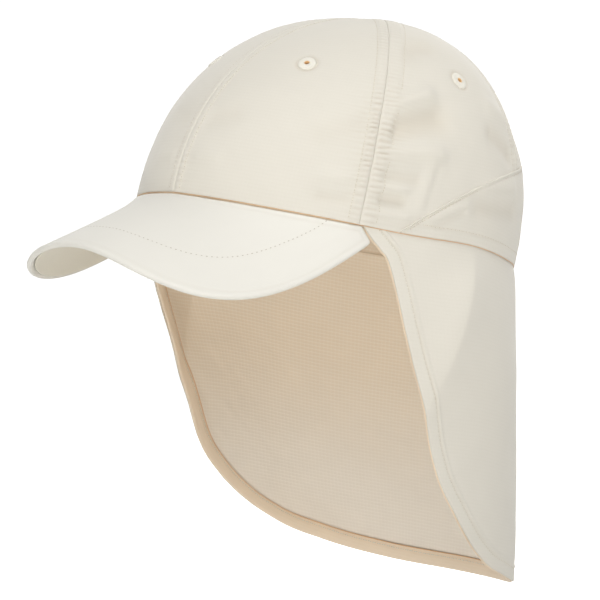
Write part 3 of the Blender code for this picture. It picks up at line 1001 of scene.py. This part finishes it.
@dataclass
class Crown:
    """Six panels, the yoke behind, the six eyelets and the crown's stitching."""

    form: CapForm
    wall: float = 1.2 * MM
    column_spacing: float = 1.25 * MM
    row_spacing: float = 0.75 * MM
    crease_fade: tuple[float, float] = (4.0 * MM, 10.0 * MM)
    pucker_fade: tuple[float, float] = (24.0, 44.0)
    tip_fade: tuple[float, float] = (70.0, 88.0)
    yoke_lap: tuple[float, float] = (72.0, 74.0)
    # Depth of a crease at which its painted shade is full
    deepest: float = 5.8 * MM
    band_rise: float = 0.35 * MM
    ridge_pitch: float = 2.7 * MM
    ridge_height: float = 1.15 * MM
    ridge_start: float = 0.9 * MM
    ridge_end: float = 1.3 * MM
    drift_size: float = 9.0 * MM
    patch_size: float = 14.0 * MM
    beyond_start: float = 1.2 * MM
    beyond_size: float = 5.0 * MM
    row_width: float = 0.6 * MM
    edge_radius: float = 0.16 * MM
    stitch_depth: float = 0.22 * MM
    rim_row: float = 5.0 * MM
    eyelet_width: float = 8.7 * MM
    eyelet_hole: float = 2.0 * MM
    eyelet_dimple: float = 4.9 * MM
    eyelet_climbs: dict[str, float] = field(
        default_factory=lambda: {"front": 42.0, "side": 46.5, "back": 45.0})
    names: tuple[str, ...] = ("front_left", "side_left", "back_left", "back_right",
                              "side_right", "front_right")
    panels: list[bpy.types.Object] = field(default_factory=list)
    yoke_piece: bpy.types.Object | None = None

    def band(self, panel: int, seam: float) -> float:
        """Return the width of the sewn band on one panel beside a seam."""
        if seam % 360 in (60, 300):
            return 5.2 * MM if panel in (0, 5) else 7.5 * MM
        return 4.0 * MM

    def puckering(self, seam: float) -> float:
        """Return how strongly the cloth puckers along a seam."""
        return {0: 0.35, 60: 1.0, 120: 0.6, 180: 0.6, 240: 0.6, 300: 1.0}[seam % 360]

    def seam_relief(self, distance: Array, along: Array, band: float, strength: Array,
                    seed: int) -> tuple[Array, Array]:
        """Return how the cloth stands beside a sewn seam.

        Args:
            distance: Distance from the seam.
            along: Distance along the seam, from the rim.
            band: Distance of the stitch row from the seam.
            strength: How strongly the cloth puckers, 0 to 1.
            seed: Seed of the unevenness.

        Returns:
            Heights over the smooth form, and the shade painted at each point, in the puckers'
            creases and along the stitch row.
        """
        past = distance - band
        drift = SoftNoise(seed, self.drift_size).at(along, distance * 0.5)
        ridges = np.abs(np.sin(math.pi * (along / self.ridge_pitch + 0.55 * drift))) ** 0.9
        patch = SoftNoise(seed + 1, self.patch_size).at(along, distance * 0.2)
        uneven = 0.62 + 0.38 * patch
        inside = smooth_step(0, self.ridge_start, distance)
        inside = inside * (1 - smooth_step(band - self.ridge_end, band, distance))
        beyond = smooth_step(band, band + self.beyond_start, distance)
        beyond = beyond * np.exp(-np.maximum(past, 0) / self.beyond_size)
        row = hump(past, self.row_width)
        height = self.band_rise * (1 - smooth_step(band - 0.3 * MM, band + 1.0 * MM, distance))
        height = height + self.ridge_height * strength * uneven * ridges * inside
        height = height - 0.06 * MM * hump(distance, 0.4 * MM)
        height = height - self.stitch_depth * row
        height = height + 0.45 * self.ridge_height * strength * uneven * (ridges - 0.5) * beyond
        # Painted shade in the puckers' creases and along the stitch row
        painted_shade = (1 - ridges) ** 1.5 * strength * uneven * (1.3 * inside + 0.6 * beyond)
        return height, painted_shade + row * (0.06 + 0.25 * strength * (1 - ridges))

    def cloth_relief(self, points: Array, angle: Array, climb: Array) -> tuple[Array, Array]:
        """Return the soft creases and the unevenness of the worn cloth, with the shade painted in
        the creases.

        Args:
            points: The smooth form's points.
            angle: Their angles round the cap.
            climb: Their climbs.

        Returns:
            Heights over the smooth form, and the shade painted in the creases at each point.
        """
        height = np.zeros(points.shape[:-1])
        for start_angle, start_climb, end_angle, end_climb, half_width, rise in CROWN_CREASES:
            for side in (1, -1):
                start = self.form.crown(side * start_angle, start_climb)
                end = self.form.crown(side * end_angle, end_climb)
                height += rise * hump(segment_distance(points, start, end), half_width)
        # Painted shade, darkest where a crease lies deepest
        painted_shade = np.maximum(-height, 0) / self.deepest
        u, v = points[..., 0] + 0.3 * points[..., 2] + 1, points[..., 1] + points[..., 2] + 1
        side = smooth_step(50, 75, self.form.from_front(angle))
        low = 1 - smooth_step(45, 80, climb)
        height += (0.20 + 0.50 * side) * low * MM * SoftNoise(21, 17 * MM).at(u, v)
        return height + 0.05 * MM * SoftNoise(22, 6 * MM).at(u, v), painted_shade

    def even_climbs(self, angle: float, low: float, top: float, ways: Array) -> Array:
        """Return shares of a climb that lie evenly along the cloth.

        Args:
            angle: The angle at which it is measured.
            low: The lowest climb.
            top: The highest climb.
            ways: Shares of the way along the cloth.

        Returns:
            Shares of the climb.
        """
        shares = 1 - np.linspace(1, 0, 3000) ** 2
        arc = path_lengths(self.form.crown(angle, low + (top - low) * shares))
        return np.interp(ways * arc[-1], arc, shares)

    def panel(self, index: int) -> bpy.types.Object:
        """Make one crown panel with its eyelet's hole.

        Args:
            index: Its number, from 0 at the front left and on round the cap.

        Returns:
            The panel.
        """
        form = self.form
        start, end = 60.0 * index, 60.0 * index + 60.0
        middle = (start + end) / 2
        width = np.radians(60) * form.plan_radius(middle)
        shares = edge_shares(width, self.column_spacing, self.edge_radius)
        ways = edge_shares(0.16, self.row_spacing, self.edge_radius)[:, None]
        angle = start + (end - start) * shares[None, :]
        low = form.yoke_climb(angle)
        top = form.tip_climb(angle)
        ways = self.even_climbs(middle, float(form.yoke_climb(middle)),
                                float(form.tip_climb(middle)), ways)
        climb = low + (top - low) * ways
        points = form.crown(angle, climb)
        normals = unit_normals(points)
        across, up, border = border_distances(points)
        right = across[:, -1:] - across
        from_rim = up + np.radians(low) * 0.1
        near_tip = 1 - smooth_step(*self.tip_fade, climb)
        puckered = 1 - 0.65 * smooth_step(*self.pucker_fade, climb)
        height, painted_shade = self.cloth_relief(points, angle, climb)
        from_seam = smooth_step(*self.crease_fade, np.minimum(across, right))
        height *= 0.2 + 0.8 * from_seam
        painted_shade = painted_shade * from_seam
        for distance, seam, side in ((across, start, 0), (right, end, -1)):
            strength = self.puckering(seam) * puckered
            relief, shade = self.seam_relief(distance, from_rim[:, [side]], self.band(index, seam),
                                             strength, 100 + 10 * index - side)
            height = height + relief * (0.35 + 0.65 * near_tip)
            painted_shade = painted_shade + shade * near_tip
        # The edge over the yoke is turned under the yoke's own turned edge
        over_yoke = smooth_step(*self.yoke_lap, form.from_front(angle))
        height -= 0.12 * MM * over_yoke * (1 - smooth_step(0.6 * MM, 2.4 * MM, up))
        hole = form.crown(middle, self.eyelet_climb(index))
        from_hole = np.linalg.norm(points - hole, axis=-1)
        height *= 1 - hump(from_hole, 4.0 * MM) * 0.9
        height -= 0.45 * MM * hump(from_hole - self.eyelet_dimple, 1.1 * MM)
        outer, inner = walled(points + normals * height[..., None], normals, self.wall, border,
                              self.edge_radius)
        uv = np.stack([(across - right) / 2 + index, from_rim + 0 * across], axis=-1)
        middles = (from_hole[1:, 1:] + from_hole[:-1, :-1]) / 2
        # Painted shade in the creases, the puckers and stitch rows, and in a ring round the
        # eyelet's dimple
        return cloth_shell(self.names[index] + "_panel_cloth", outer, inner, uv,
                           (Finish.CREAM, Finish.BEIGE),
                           hole=middles < self.eyelet_width / 2 - 1.5 * MM,
                           painted_shade=painted_shade + 0.5 * hump(from_hole - self.eyelet_dimple, 0.8 * MM))

    def eyelet_climb(self, index: int) -> float:
        """Return the climb of a panel's eyelet."""
        return self.eyelet_climbs[self.names[index].split("_")[0]]

    def eyelet(self, index: int) -> bpy.types.Object:
        """Embroider one eyelet: a flat ring of threads that run from its hole outwards.

        Args:
            index: The panel's number.

        Returns:
            The eyelet.
        """
        threads, steps = 38, 6
        bpy.ops.object.select_all(action="DESELECT")
        bpy.ops.mesh.primitive_torus_add(major_segments=threads * steps, minor_segments=14,
                                         major_radius=1.0, minor_radius=0.5)
        piece = bpy.context.object
        piece.name = self.names[index] + "_eyelet_thread"
        flat = np.array([v.co for v in piece.data.vertices])
        turn = np.arctan2(flat[:, 1], flat[:, 0])
        out = (np.hypot(flat[:, 0], flat[:, 1]) - 1.0) / 0.5
        rise = flat[:, 2] / 0.5
        place = turn / math.tau * threads + out * 0.25
        ridge = np.abs(np.cos(math.pi * place))
        random = np.random.default_rng(40 + index)
        uneven = random.uniform(-1, 1, threads + 1)[np.floor(place).astype(int) % threads]
        hole, rim = self.eyelet_hole / 2, self.eyelet_width / 2
        radius = (hole + rim) / 2 + (rim - hole) / 2 * np.sign(out) * np.abs(out) ** 0.8
        radius += 0.12 * MM * uneven * np.clip(out, 0, 1) + 0.06 * MM * ridge * np.sign(out)
        half = self.wall / 2 + 0.45 * MM
        height = half * np.sign(rise) * np.abs(rise) ** 0.4 * (1 - 0.12 * np.clip(out, -1, 1))
        height += 0.13 * MM * (ridge - 0.5) * np.sign(rise) * np.minimum(np.abs(rise) * 2, 1)
        local = np.stack([radius * np.cos(turn), radius * np.sin(turn), height - self.wall / 2], 1)
        angle, climb = 60.0 * index + 30.0, self.eyelet_climb(index)
        centre = self.form.crown(angle, climb)
        around = self.form.crown(angle + 0.5, climb) - self.form.crown(angle - 0.5, climb)
        up = self.form.crown(angle, climb + 0.5) - self.form.crown(angle, climb - 0.5)
        normal = np.cross(around, up)
        axes = np.array([unit(around), unit(np.cross(normal, around)), unit(normal)])
        places = (local @ axes + centre).reshape(-1).astype(np.float32)
        piece.data.vertices.foreach_set("co", places)
        # The thread's inner edge is painted tan: painted shade, in the tan of the cap's inside seen
        # through the hole
        mark_points(piece.data, "dip_shade", smooth_step(0.6, 0.9, -out))
        piece.data.materials.append(WARDROBE.get(Finish.EYELET_THREAD))
        piece.data.update()
        select_only(piece)
        bpy.ops.object.shade_smooth()
        return piece

    def yoke(self) -> bpy.types.Object:
        """Make the yoke round the back, its upper edge turned and standing proud."""
        form = self.form
        start = form.yoke_start + 0.6
        dense = np.linspace(start, 360 - start, 2000)
        arc = path_lengths(form.crown(dense, 0.0 * dense))
        shares = edge_shares(float(arc[-1]), 1.0 * MM, self.wall / 2)
        angle = np.interp(shares * arc[-1], arc, dense)[None, :]
        ways = edge_shares(0.048, 1.0 * MM, self.wall / 2)[:, None]
        climb = (form.yoke_climb(angle) + 0.25) * ways
        angle = angle + 0 * climb
        points = form.crown(angle, climb)
        normals = unit_normals(points)
        around, up, border = border_distances(points)
        below = up[-1:] - up
        height, painted_shade = self.cloth_relief(points, angle, climb)
        height += 0.45 * MM * (1 - smooth_step(0.7 * MM, 1.4 * MM, below))
        height -= 0.20 * MM * hump(below - 1.8 * MM, 0.5 * MM)
        rim_band = 1 - smooth_step(self.rim_row - 0.4 * MM, self.rim_row + 0.8 * MM, up)
        height += 0.20 * MM * rim_band
        height -= 0.16 * MM * hump(up - self.rim_row, 0.5 * MM)
        phase = around / self.ridge_pitch + 0.5 * SoftNoise(61, 9 * MM).at(around, up)
        ridges = np.sin(math.tau * phase)
        height += 0.13 * MM * ridges * hump(up - self.rim_row * 0.5, self.rim_row * 0.4)
        height += 0.12 * MM * ridges * hump(below - 3.5 * MM, 2.5 * MM)
        outer, inner = walled(points + normals * height[..., None], normals, self.wall, border,
                              self.wall / 2)
        uv = np.stack([around, up], axis=-1)
        # Painted shade in the groove under the yoke's turned edge and along the row of stitches
        # above the rim
        painted_shade = painted_shade + 0.22 * hump(below - 1.8 * MM, 0.5 * MM)
        painted_shade = painted_shade + 0.15 * hump(up - self.rim_row, 0.5 * MM)
        return cloth_shell("yoke_cloth", outer, inner, uv, (Finish.CREAM, Finish.BEIGE),
                           painted_shade=painted_shade)

    def seam_rows(self) -> bpy.types.Object:
        """Sew the rows of stitches beside the crown's seams, on the yoke and above the rim."""
        form = self.form
        stitching = Stitching()
        for index, piece in enumerate(self.panels):
            for seam, turn in ((60.0 * index, 1), (60.0 * index + 60.0, -1)):
                low, top = float(form.yoke_climb(seam)) + 1.0, 84.0
                climb = np.linspace(low, top, 400)
                radius = form.plan_radius(seam) * form.spread(seam, climb)
                offset = np.degrees(self.band(index, seam) / radius)
                keep = offset < 27
                path = form.crown(seam + turn * offset[keep], climb[keep])
                stitching.row(path, piece, seed=200 + 10 * index + turn)
        angle = np.linspace(form.yoke_start + 3, 357 - form.yoke_start, 800)
        yoke_top = form.yoke_climb(angle)
        down = np.degrees(1.75 * MM / form.crown_height)
        path = form.crown(angle, np.maximum(yoke_top - down, 0.3))
        stitching.row(path, self.yoke_piece, seed=300)
        keep = yoke_top > 4.5
        row = np.degrees(self.rim_row / form.crown_height)
        stitching.row(form.crown(angle[keep], row), self.yoke_piece, seed=301)
        return stitching.build("crown_stitching", Finish.SEAM_THREAD)

    def rim_line(self) -> bpy.types.Object:
        """Make the tan edge of the cloth that shows under the crown's lower edge."""
        angle = np.linspace(-180, 180, 721)[:-1]
        path = self.form.rim(angle, drop=0.15 * MM, inset=0.45 * MM)
        return tube("rim_edge_line", path, 0.18 * MM, Finish.EDGE, closed=True)

    def build(self) -> None:
        """Make and seat every piece of the crown."""
        for index, name in enumerate(self.names):
            self.panels.append(seat(self.panel(index), "crown_cloth", name + "_panel"))
            seat(self.eyelet(index), "eyelet_thread", name + "_eyelet")
        self.yoke_piece = seat(self.yoke(), "crown_cloth", "back_yoke")
        seat(self.seam_rows(), "eyelet_thread")
        seat(self.rim_line(), "hem_cloth")


# share round the peak, way out from the rim
PEAK_ROW: Table = (
    (0.000, 0.690), (0.150, 0.676), (0.300, 0.642), (0.410, 0.595), (0.535, 0.502),
    (0.617, 0.425), (0.708, 0.320), (0.792, 0.165), (0.840, 0.010),
)


@dataclass
class Peak:
    """The curved peak: its cloth cover, the panel under it and its row of stitches."""

    form: CapForm
    board: float = 1.7 * MM
    edge: float = 3.0 * MM
    lip: float = 2.5 * MM
    corner: float = 2.4 * MM
    lining: float = 1.0 * MM
    lining_gap: float = 0.5 * MM

    def rounded(self, points: Array, side: Array, front: Array) -> tuple[Array, Array]:
        """Round the peak's two corners in plan.

        Args:
            points: The peak's upper face.
            side: Each point's distance from the peak's nearer end.
            front: Its distance from the free edge.

        Returns:
            The moved points and their distance from the border.
        """
        along = np.gradient(points, axis=1)
        along /= np.linalg.norm(along, axis=-1, keepdims=True)
        outward = np.gradient(points, axis=0)
        outward /= np.linalg.norm(outward, axis=-1, keepdims=True)
        along *= np.sign(points[..., :1])
        a = np.maximum(self.corner - side, 0)
        b = np.maximum(self.corner - front, 0)
        size = np.maximum(np.hypot(a, b), 1e-12)
        scale = np.maximum(a, b) / size
        scale = np.where((a > 0) & (b > 0), scale, 1.0)
        moved = points + ((scale - 1) * a)[..., None] * along
        moved = moved + ((scale - 1) * b)[..., None] * outward
        border = np.where((a > 0) & (b > 0), self.corner - scale * size, np.minimum(side, front))
        return moved, np.maximum(border, 0)

    def cover(self) -> bpy.types.Object:
        """Make the cloth-covered peak with its rolled edge."""
        shares = 2 * edge_shares(0.23, 1.0 * MM, self.edge / 2) - 1
        ways = edge_shares(self.form.peak_projection, 1.1 * MM, self.edge / 2)[:, None]
        points = self.form.peak(shares[None, :], ways)
        across = path_lengths(points, 1)
        side = np.minimum(across, across[:, -1:] - across)
        out = path_lengths(points, 0)
        front = out[-1:] - out
        points, border = self.rounded(points, side, front)
        normals = unit_normals(points, flip=True)
        border = np.minimum(border, out)
        row, _ = line_distance(points, self.row_arc())
        height = -0.10 * MM * hump(row, 0.7 * MM)
        u, v = points[..., 0] + 1, points[..., 1] + 1
        height += 0.06 * MM * SoftNoise(71, 14 * MM).at(u, v)
        rim = smooth_step(2.2 * MM, 3.4 * MM, border)
        height -= 0.12 * MM * hump(border - 3.4 * MM, 0.7 * MM)
        # Painted shade along the row of stitches and in the groove inside the rolled edge
        painted_shade = 0.08 * hump(row, 0.55 * MM) + 0.15 * hump(border - 3.4 * MM, 0.7 * MM)
        points = points + normals * height[..., None]
        wall = self.edge + (self.board - self.edge) * rim
        outer, inner = walled(points, normals, wall, border, self.edge / 2)
        uv = np.stack([across - across[:, -1:] / 2, out], axis=-1)
        return cloth_shell("peak_cover", outer, inner, uv, (Finish.PEAK, Finish.PEAK), flip=True,
                           painted_shade=painted_shade)

    def row_arc(self) -> Array:
        """Return the arc of the peak's row of stitches."""
        end = PEAK_ROW[-1][0]
        share = np.linspace(-end, end, 500)
        return self.form.peak(share, smooth_table(PEAK_ROW, 1, np.abs(share)))

    def underside(self) -> bpy.types.Object:
        """Make the panel that lies inside the rolled edge, under the peak."""
        end = 1 - 2 * self.lip / self.form.peak_width - 4 * 0.3 * MM / self.form.peak_width
        shares = end * (2 * edge_shares(0.22, 2.0 * MM, self.lining / 2) - 1)
        last = 1 - (self.lip + 0.6 * MM) / self.form.peak_projection
        first = self.board / self.form.peak_projection
        ways = first + (last - first) * edge_shares(0.055, 1.8 * MM, self.lining / 2)[:, None]
        points = self.form.peak(shares[None, :], ways)
        normals = unit_normals(points, flip=True)
        across, out, border = border_distances(points)
        points = points - normals * (self.board + self.lining_gap)
        outer, inner = walled(points, normals, self.lining, border, self.lining / 2)
        uv = np.stack([across - across[:, -1:] / 2, out], axis=-1)
        return cloth_shell("peak_lining", outer, inner, uv, (Finish.SHADED_LINING, Finish.SHADED_LINING),
                           flip=True)

    def build(self) -> None:
        """Make and seat every piece of the peak."""
        cover = seat(self.cover(), "peak_cloth", "peak_top")
        seat(self.underside(), "peak_cloth", "peak_underside")
        # Short stitches pulled deep, their thread painted dark, so that only small dark dots show
        # along the row: painted shade, as at needle holes
        stitching = Stitching(length=0.9 * MM, pitch=2.4 * MM, width=0.5 * MM, height=0.2 * MM)
        stitching.row(self.row_arc(), cover, seed=400)
        seat(stitching.build("peak_stitching", Finish.PEAK_THREAD), "eyelet_thread")


@dataclass
class NeckFlap:
    """The flap over the neck, with its hem turned to the inside."""

    form: CapForm
    wall: float = 1.0 * MM
    hem_width: float = 7.8 * MM
    hem_wall: float = 1.0 * MM
    hem_thinning: float = 0.5
    wrap: float = 0.10 * MM
    tuck: float = 1.2 * MM
    top_inset: float = 0.8 * MM
    row_inset: float = 6.2 * MM
    crest_height: float = 2.6 * MM
    crest_width: float = 8.5 * MM
    crest_round: float = 0.8 * MM
    swing_out: float = 0.667
    swing_forward: float = 0.745

    def face(self, angle: Array, depth: Array) -> Array:
        """Return points of the flap's outer face, drawn in under the crown's edge."""
        points = self.form.flap(angle, depth)
        front = 1 - smooth_step(75, 125, self.form.from_front(angle))
        swing = smooth_table(FAR_SWING, 1, depth / MM) * MM * front * (points[..., 0] < 0)
        points[..., 0] -= self.swing_out * swing
        points[..., 1] -= self.swing_forward * swing
        inset = self.top_inset * np.exp(-np.maximum(depth, 0) / (4 * MM))
        plan = points[..., :2]
        length = np.linalg.norm(plan, axis=-1, keepdims=True)
        points[..., :2] = plan * (1 - inset[..., None] / length)
        return points

    def crest(self, angle: Array, depth: Array) -> Array:
        """Return how far the first fold's sharp crest stands out of the flap."""
        top, foot, foot_depth, _, _ = FLAP_FOLDS[0]
        share = depth / self.form.flap_depth
        way = np.clip(share / foot_depth, 0, 1)
        turn = np.radians(self.form.from_front(angle) - top - (foot - top) * way)
        arc = turn * self.form.rim_width / 2
        away = np.hypot(arc, self.crest_round) - self.crest_round
        fade = (1 - way ** 4) * smooth_step(-0.02, 0.12, share)
        return self.crest_height * fade * np.exp(-away / self.crest_width)

    def free_edge(self) -> Array:
        """Return the flap's free edge from one front end to the other."""
        start = self.form.flap_start
        angle = np.linspace(start, 360 - start, 4000)
        return self.face(angle, self.form.flap_length(angle))

    def angles(self, count: int) -> Array:
        """Return angles of columns, closer together at the flap's front ends."""
        half = np.linspace(0, 1, count // 2 + 1) ** 1.5
        start = self.form.flap_start
        left = start + (180 - start) * half
        return np.concatenate([left, 360 - left[-2::-1]])

    def sheet(self) -> bpy.types.Object:
        """Make the flap: cream outside, beige inside."""
        form = self.form
        angle = self.angles(280)[None, :]
        ways = edge_shares(form.flap_depth, 1.15 * MM, self.wall / 2)[:, None]
        length = form.flap_length(angle)
        depth = -self.tuck + (length + self.tuck) * ways
        angle = angle + 0 * depth
        points = self.face(angle, depth)
        normals = unit_normals(points, flip=True)
        across = path_lengths(points, 1)
        down = path_lengths(points, 0)
        edge, _ = line_distance(points, self.free_edge())
        border = np.minimum(np.minimum(edge, down), np.minimum(across, across[:, -1:] - across))
        height = 0.5 * MM * SoftNoise(81, 34 * MM).at(across, down) * smooth_step(0, 20 * MM, down)
        height += 0.06 * MM * SoftNoise(82, 9 * MM).at(across, down)
        height += 0.25 * MM * (1 - smooth_step(6.2 * MM, 8.2 * MM, edge))
        height += 0.40 * MM * hump(edge - 7.4 * MM, 0.7 * MM)
        height -= 0.30 * MM * hump(edge - self.row_inset, 0.6 * MM)
        height += self.crest(angle, depth)
        # Painted shade in the groove of the row of stitches
        painted_shade = 0.25 * hump(edge - self.row_inset, 0.5 * MM)
        points = points + normals * height[..., None]
        outer, inner = walled(points, normals, self.wall, border, self.wall / 2)
        uv = np.stack([np.radians(angle) * form.rim_width / 2, depth], axis=-1)
        return cloth_shell("neck_flap_cloth", outer, inner, uv, (Finish.CREAM, Finish.BEIGE),
                           flip=True, painted_shade=painted_shade)

    def hem_path(self, inset: float, lift: float = 1.15 * MM) -> Array:
        """Return a line beside the flap's free edge, by default on its inner face.

        Args:
            inset: Distance from the free edge.
            lift: How far the line lies inside the flap's outer face.

        Returns:
            The line's points.
        """
        angle = self.angles(600)[3:-3]
        step = 0.2
        here = self.form.flap_length(angle)
        around = self.face(angle + step, here) - self.face(angle - step, here)
        arc = np.hypot(around[:, 0], around[:, 1])
        fall = self.form.flap_length(angle + step) - self.form.flap_length(angle - step)
        size = np.hypot(arc, fall)
        place = angle + fall / size * inset * 2 * step / arc
        depth = np.maximum(here - arc / size * inset, 0.0)
        return self.on_inside(place, depth, lift)

    def on_inside(self, angle: Array, depth: Array, lift: float) -> Array:
        """Return points at a lift inside the flap's outer face, following its crest."""
        around = self.face(angle + 0.25, depth) - self.face(angle - 0.25, depth)
        down = self.face(angle, depth + 0.5 * MM) - self.face(angle, depth)
        normal = np.cross(down, around)
        normal /= np.linalg.norm(normal, axis=-1, keepdims=True)
        return self.face(angle, depth) + normal * (self.crest(angle, depth) - lift)[..., None]

    def hem(self) -> bpy.types.Object:
        """Make the hem, a folded strip on the inside along the free edge."""
        shares = edge_shares(self.hem_width, 0.9 * MM, self.hem_wall / 2)
        insets = (self.hem_width + self.wrap) * shares - self.wrap
        # Its outer border sinks into the flap's edge, the rest lies flat on the inner face
        lifts = self.wall - 0.45 * MM * np.exp(-(insets + self.wrap) / (0.6 * MM))
        points = np.stack([self.hem_path(inset, lift) for inset, lift in zip(insets, lifts)])
        normals = unit_normals(points, flip=False)
        along, up, border = border_distances(points)
        height = 0.25 * MM * np.sin(math.pi * np.clip(up / self.hem_width, 0, 1))
        height -= 0.2 * MM * hump(up[-1:] - up - 1.8 * MM, 0.5 * MM)
        phase = along / (3.1 * MM) + 0.6 * SoftNoise(91, 11 * MM).at(along, up)
        height += 0.06 * MM * np.sin(math.tau * phase) * smooth_step(0, self.hem_width, up)
        thinned = self.hem_thinning * smooth_step(self.hem_width - 2.6 * MM, self.hem_width, up)
        wall = self.hem_wall * (1 - thinned) + height
        outer, inner = walled(points, normals, wall, border, self.hem_wall / 2)
        uv = np.stack([along, up], axis=-1)
        return cloth_shell("flap_hem_cloth", outer, inner, uv, (Finish.HEM, Finish.HEM))

    def build(self) -> None:
        flap = seat(self.sheet(), "flap_cloth", "neck_flap")
        hem = seat(self.hem(), "hem_cloth", "flap_hem")
        stitching = Stitching()
        stitching.row(self.hem_path(self.hem_width - 1.8 * MM, lift=2.6 * MM), hem, seed=500)
        stitching.row(self.hem_path(self.row_inset, lift=-0.5 * MM), flap, seed=501)
        stitches = seat(stitching.build("hem_stitching", Finish.SEAM_THREAD), "eyelet_thread")
        line = tube("hem_edge_line", self.hem_path(self.hem_width - 0.2 * MM, lift=1.5 * MM),
                    0.28 * MM, Finish.EDGE)
        seat(line, "hem_cloth")


@dataclass
class Studio:
    """Floor, light and camera."""

    floor_depth: float = 0.55
    floor_size: float = 30.0
    azimuth: float = 48.145
    elevation: float = 5.865
    distance: float = 1.400
    focal_share: float = 2.04
    frame_width: float = 600.0
    origin_pixel: tuple[float, float] = (327.48, 232.38)
    sensor: float = 36.0
    horizon: float = 1.06
    overhead: float = 0.24
    left_shade: float = 0.6
    # name, azimuth, elevation, distance, width, power
    lamps: tuple = (
        ("key_light", 60.0, 40.0, 2.8, 1.3, 24.5),
        ("top_light", 45.0, 86.0, 2.8, 1.3, 35.0),
        ("back_light", 220.0, 35.0, 2.8, 1.6, 24.0),
        ("low_light", 30.0, -12.0, 1.6, 0.7, 5.2),
    )

    def floor(self) -> None:
        """Make the plain floor, far below the cap."""
        bpy.ops.object.select_all(action="DESELECT")
        bpy.ops.mesh.primitive_grid_add(x_subdivisions=8, y_subdivisions=8, size=self.floor_size,
                                        location=(0, 0, -self.floor_depth))
        floor = bpy.context.object
        floor.name = "studio_floor"
        bpy.ops.object.transform_apply(location=True, rotation=False, scale=False)
        floor.data.materials.append(LitFloor().make())

    def light(self, name: str, place: tuple, target: tuple, size: float, power: float) -> None:
        """Add a soft light.

        Args:
            name: The light's name.
            place: Where it stands.
            target: What it points at.
            size: Its width.
            power: Its power in watts.
        """
        lamp = bpy.data.lights.new(name, "AREA")
        lamp.shape = "DISK"
        lamp.size = size
        lamp.energy = power
        holder = bpy.data.objects.new(name, lamp)
        holder.location = place
        aim = Vector(target) - Vector(place)
        holder.rotation_euler = aim.to_track_quat("-Z", "Y").to_euler()
        bpy.context.scene.collection.objects.link(holder)

    def lights(self) -> None:
        """Add the white surroundings and the soft lights."""
        world = bpy.data.worlds.new("studio_white")
        world.use_nodes = True
        tree = world.node_tree
        background = tree.nodes["Background"]
        background.inputs["Color"].default_value = (1.0, 1.0, 1.0, 1.0)
        # White at the horizon, softer overhead and on the camera's left
        place = add_node(tree, "ShaderNodeTexCoord")
        height = add_node(tree, "ShaderNodeSeparateXYZ", None, {0: place.outputs["Generated"]})
        fall = add_node(tree, "ShaderNodeMapRange", {"interpolation_type": "SMOOTHSTEP"},
                        {"Value": height.outputs["Z"], "From Min": 0.03, "From Max": 0.3,
                         "To Min": self.horizon, "To Max": self.overhead})
        azimuth = math.radians(self.azimuth)
        left = add_node(tree, "ShaderNodeVectorMath", {"operation": "DOT_PRODUCT"},
                        {0: place.outputs["Generated"],
                         1: (-math.cos(azimuth), -math.sin(azimuth), 0.0)})
        shade = add_node(tree, "ShaderNodeMapRange", {"interpolation_type": "SMOOTHSTEP"},
                         {"Value": left.outputs["Value"], "From Min": 0.3, "From Max": 0.8,
                          "To Min": 1.0, "To Max": 1 - self.left_shade})
        light = add_node(tree, "ShaderNodeMath", {"operation": "MULTIPLY"},
                         {0: fall.outputs[0], 1: shade.outputs[0]})
        seen = add_node(tree, "ShaderNodeLightPath")
        strength = add_node(tree, "ShaderNodeMix", {"data_type": "FLOAT"},
                            {0: seen.outputs["Is Camera Ray"], 2: light.outputs[0],
                             3: self.horizon})
        tree.links.new(strength.outputs[0], background.inputs["Strength"])
        bpy.context.scene.world = world
        for name, lamp_azimuth, lamp_elevation, distance, width, power in self.lamps:
            across, up = math.radians(lamp_azimuth), math.radians(lamp_elevation)
            spot = (distance * math.sin(across) * math.cos(up),
                    -distance * math.cos(across) * math.cos(up), distance * math.sin(up))
            self.light(name, spot, (0, 0, 0), width, power)
        bpy.context.scene.view_settings.view_transform = "Standard"

    def camera(self) -> None:
        """Stand the camera where the photograph was taken from."""
        azimuth, elevation = math.radians(self.azimuth), math.radians(self.elevation)
        right = Vector((math.cos(azimuth), math.sin(azimuth), 0))
        forward = Vector((-math.sin(azimuth) * math.cos(elevation),
                          math.cos(azimuth) * math.cos(elevation), -math.sin(elevation)))
        up = right.cross(forward)
        focal = self.focal_share * self.distance * 1000
        across = (self.origin_pixel[0] - self.frame_width / 2) / focal * self.distance
        rise = (self.frame_width / 2 - self.origin_pixel[1]) / focal * self.distance
        lens = bpy.data.cameras.new("photo_camera")
        lens.sensor_fit = "HORIZONTAL"
        lens.sensor_width = self.sensor
        lens.lens = focal / self.frame_width * self.sensor
        lens.clip_end = 100.0
        holder = bpy.data.objects.new("photo_camera", lens)
        turn = Matrix((right, up, -forward)).transposed().to_4x4()
        place = -(across * right + rise * up + self.distance * forward)
        holder.matrix_world = Matrix.Translation(place) @ turn
        bpy.context.scene.collection.objects.link(holder)
        bpy.context.scene.camera = holder

    def build(self) -> None:
        """Set the whole stage."""
        self.floor()
        self.lights()
        self.camera()


def main() -> None:
    """Build every sub-assembly in order."""
    logging.basicConfig(level=logging.INFO, format="%(name)s: %(message)s")
    form = CapForm()
    Studio().build()
    for part in (Crown(form), Peak(form), NeckFlap(form)):
        LOG.info("building %s", type(part).__name__)
        part.build()


if __name__ == "__main__":
    main()
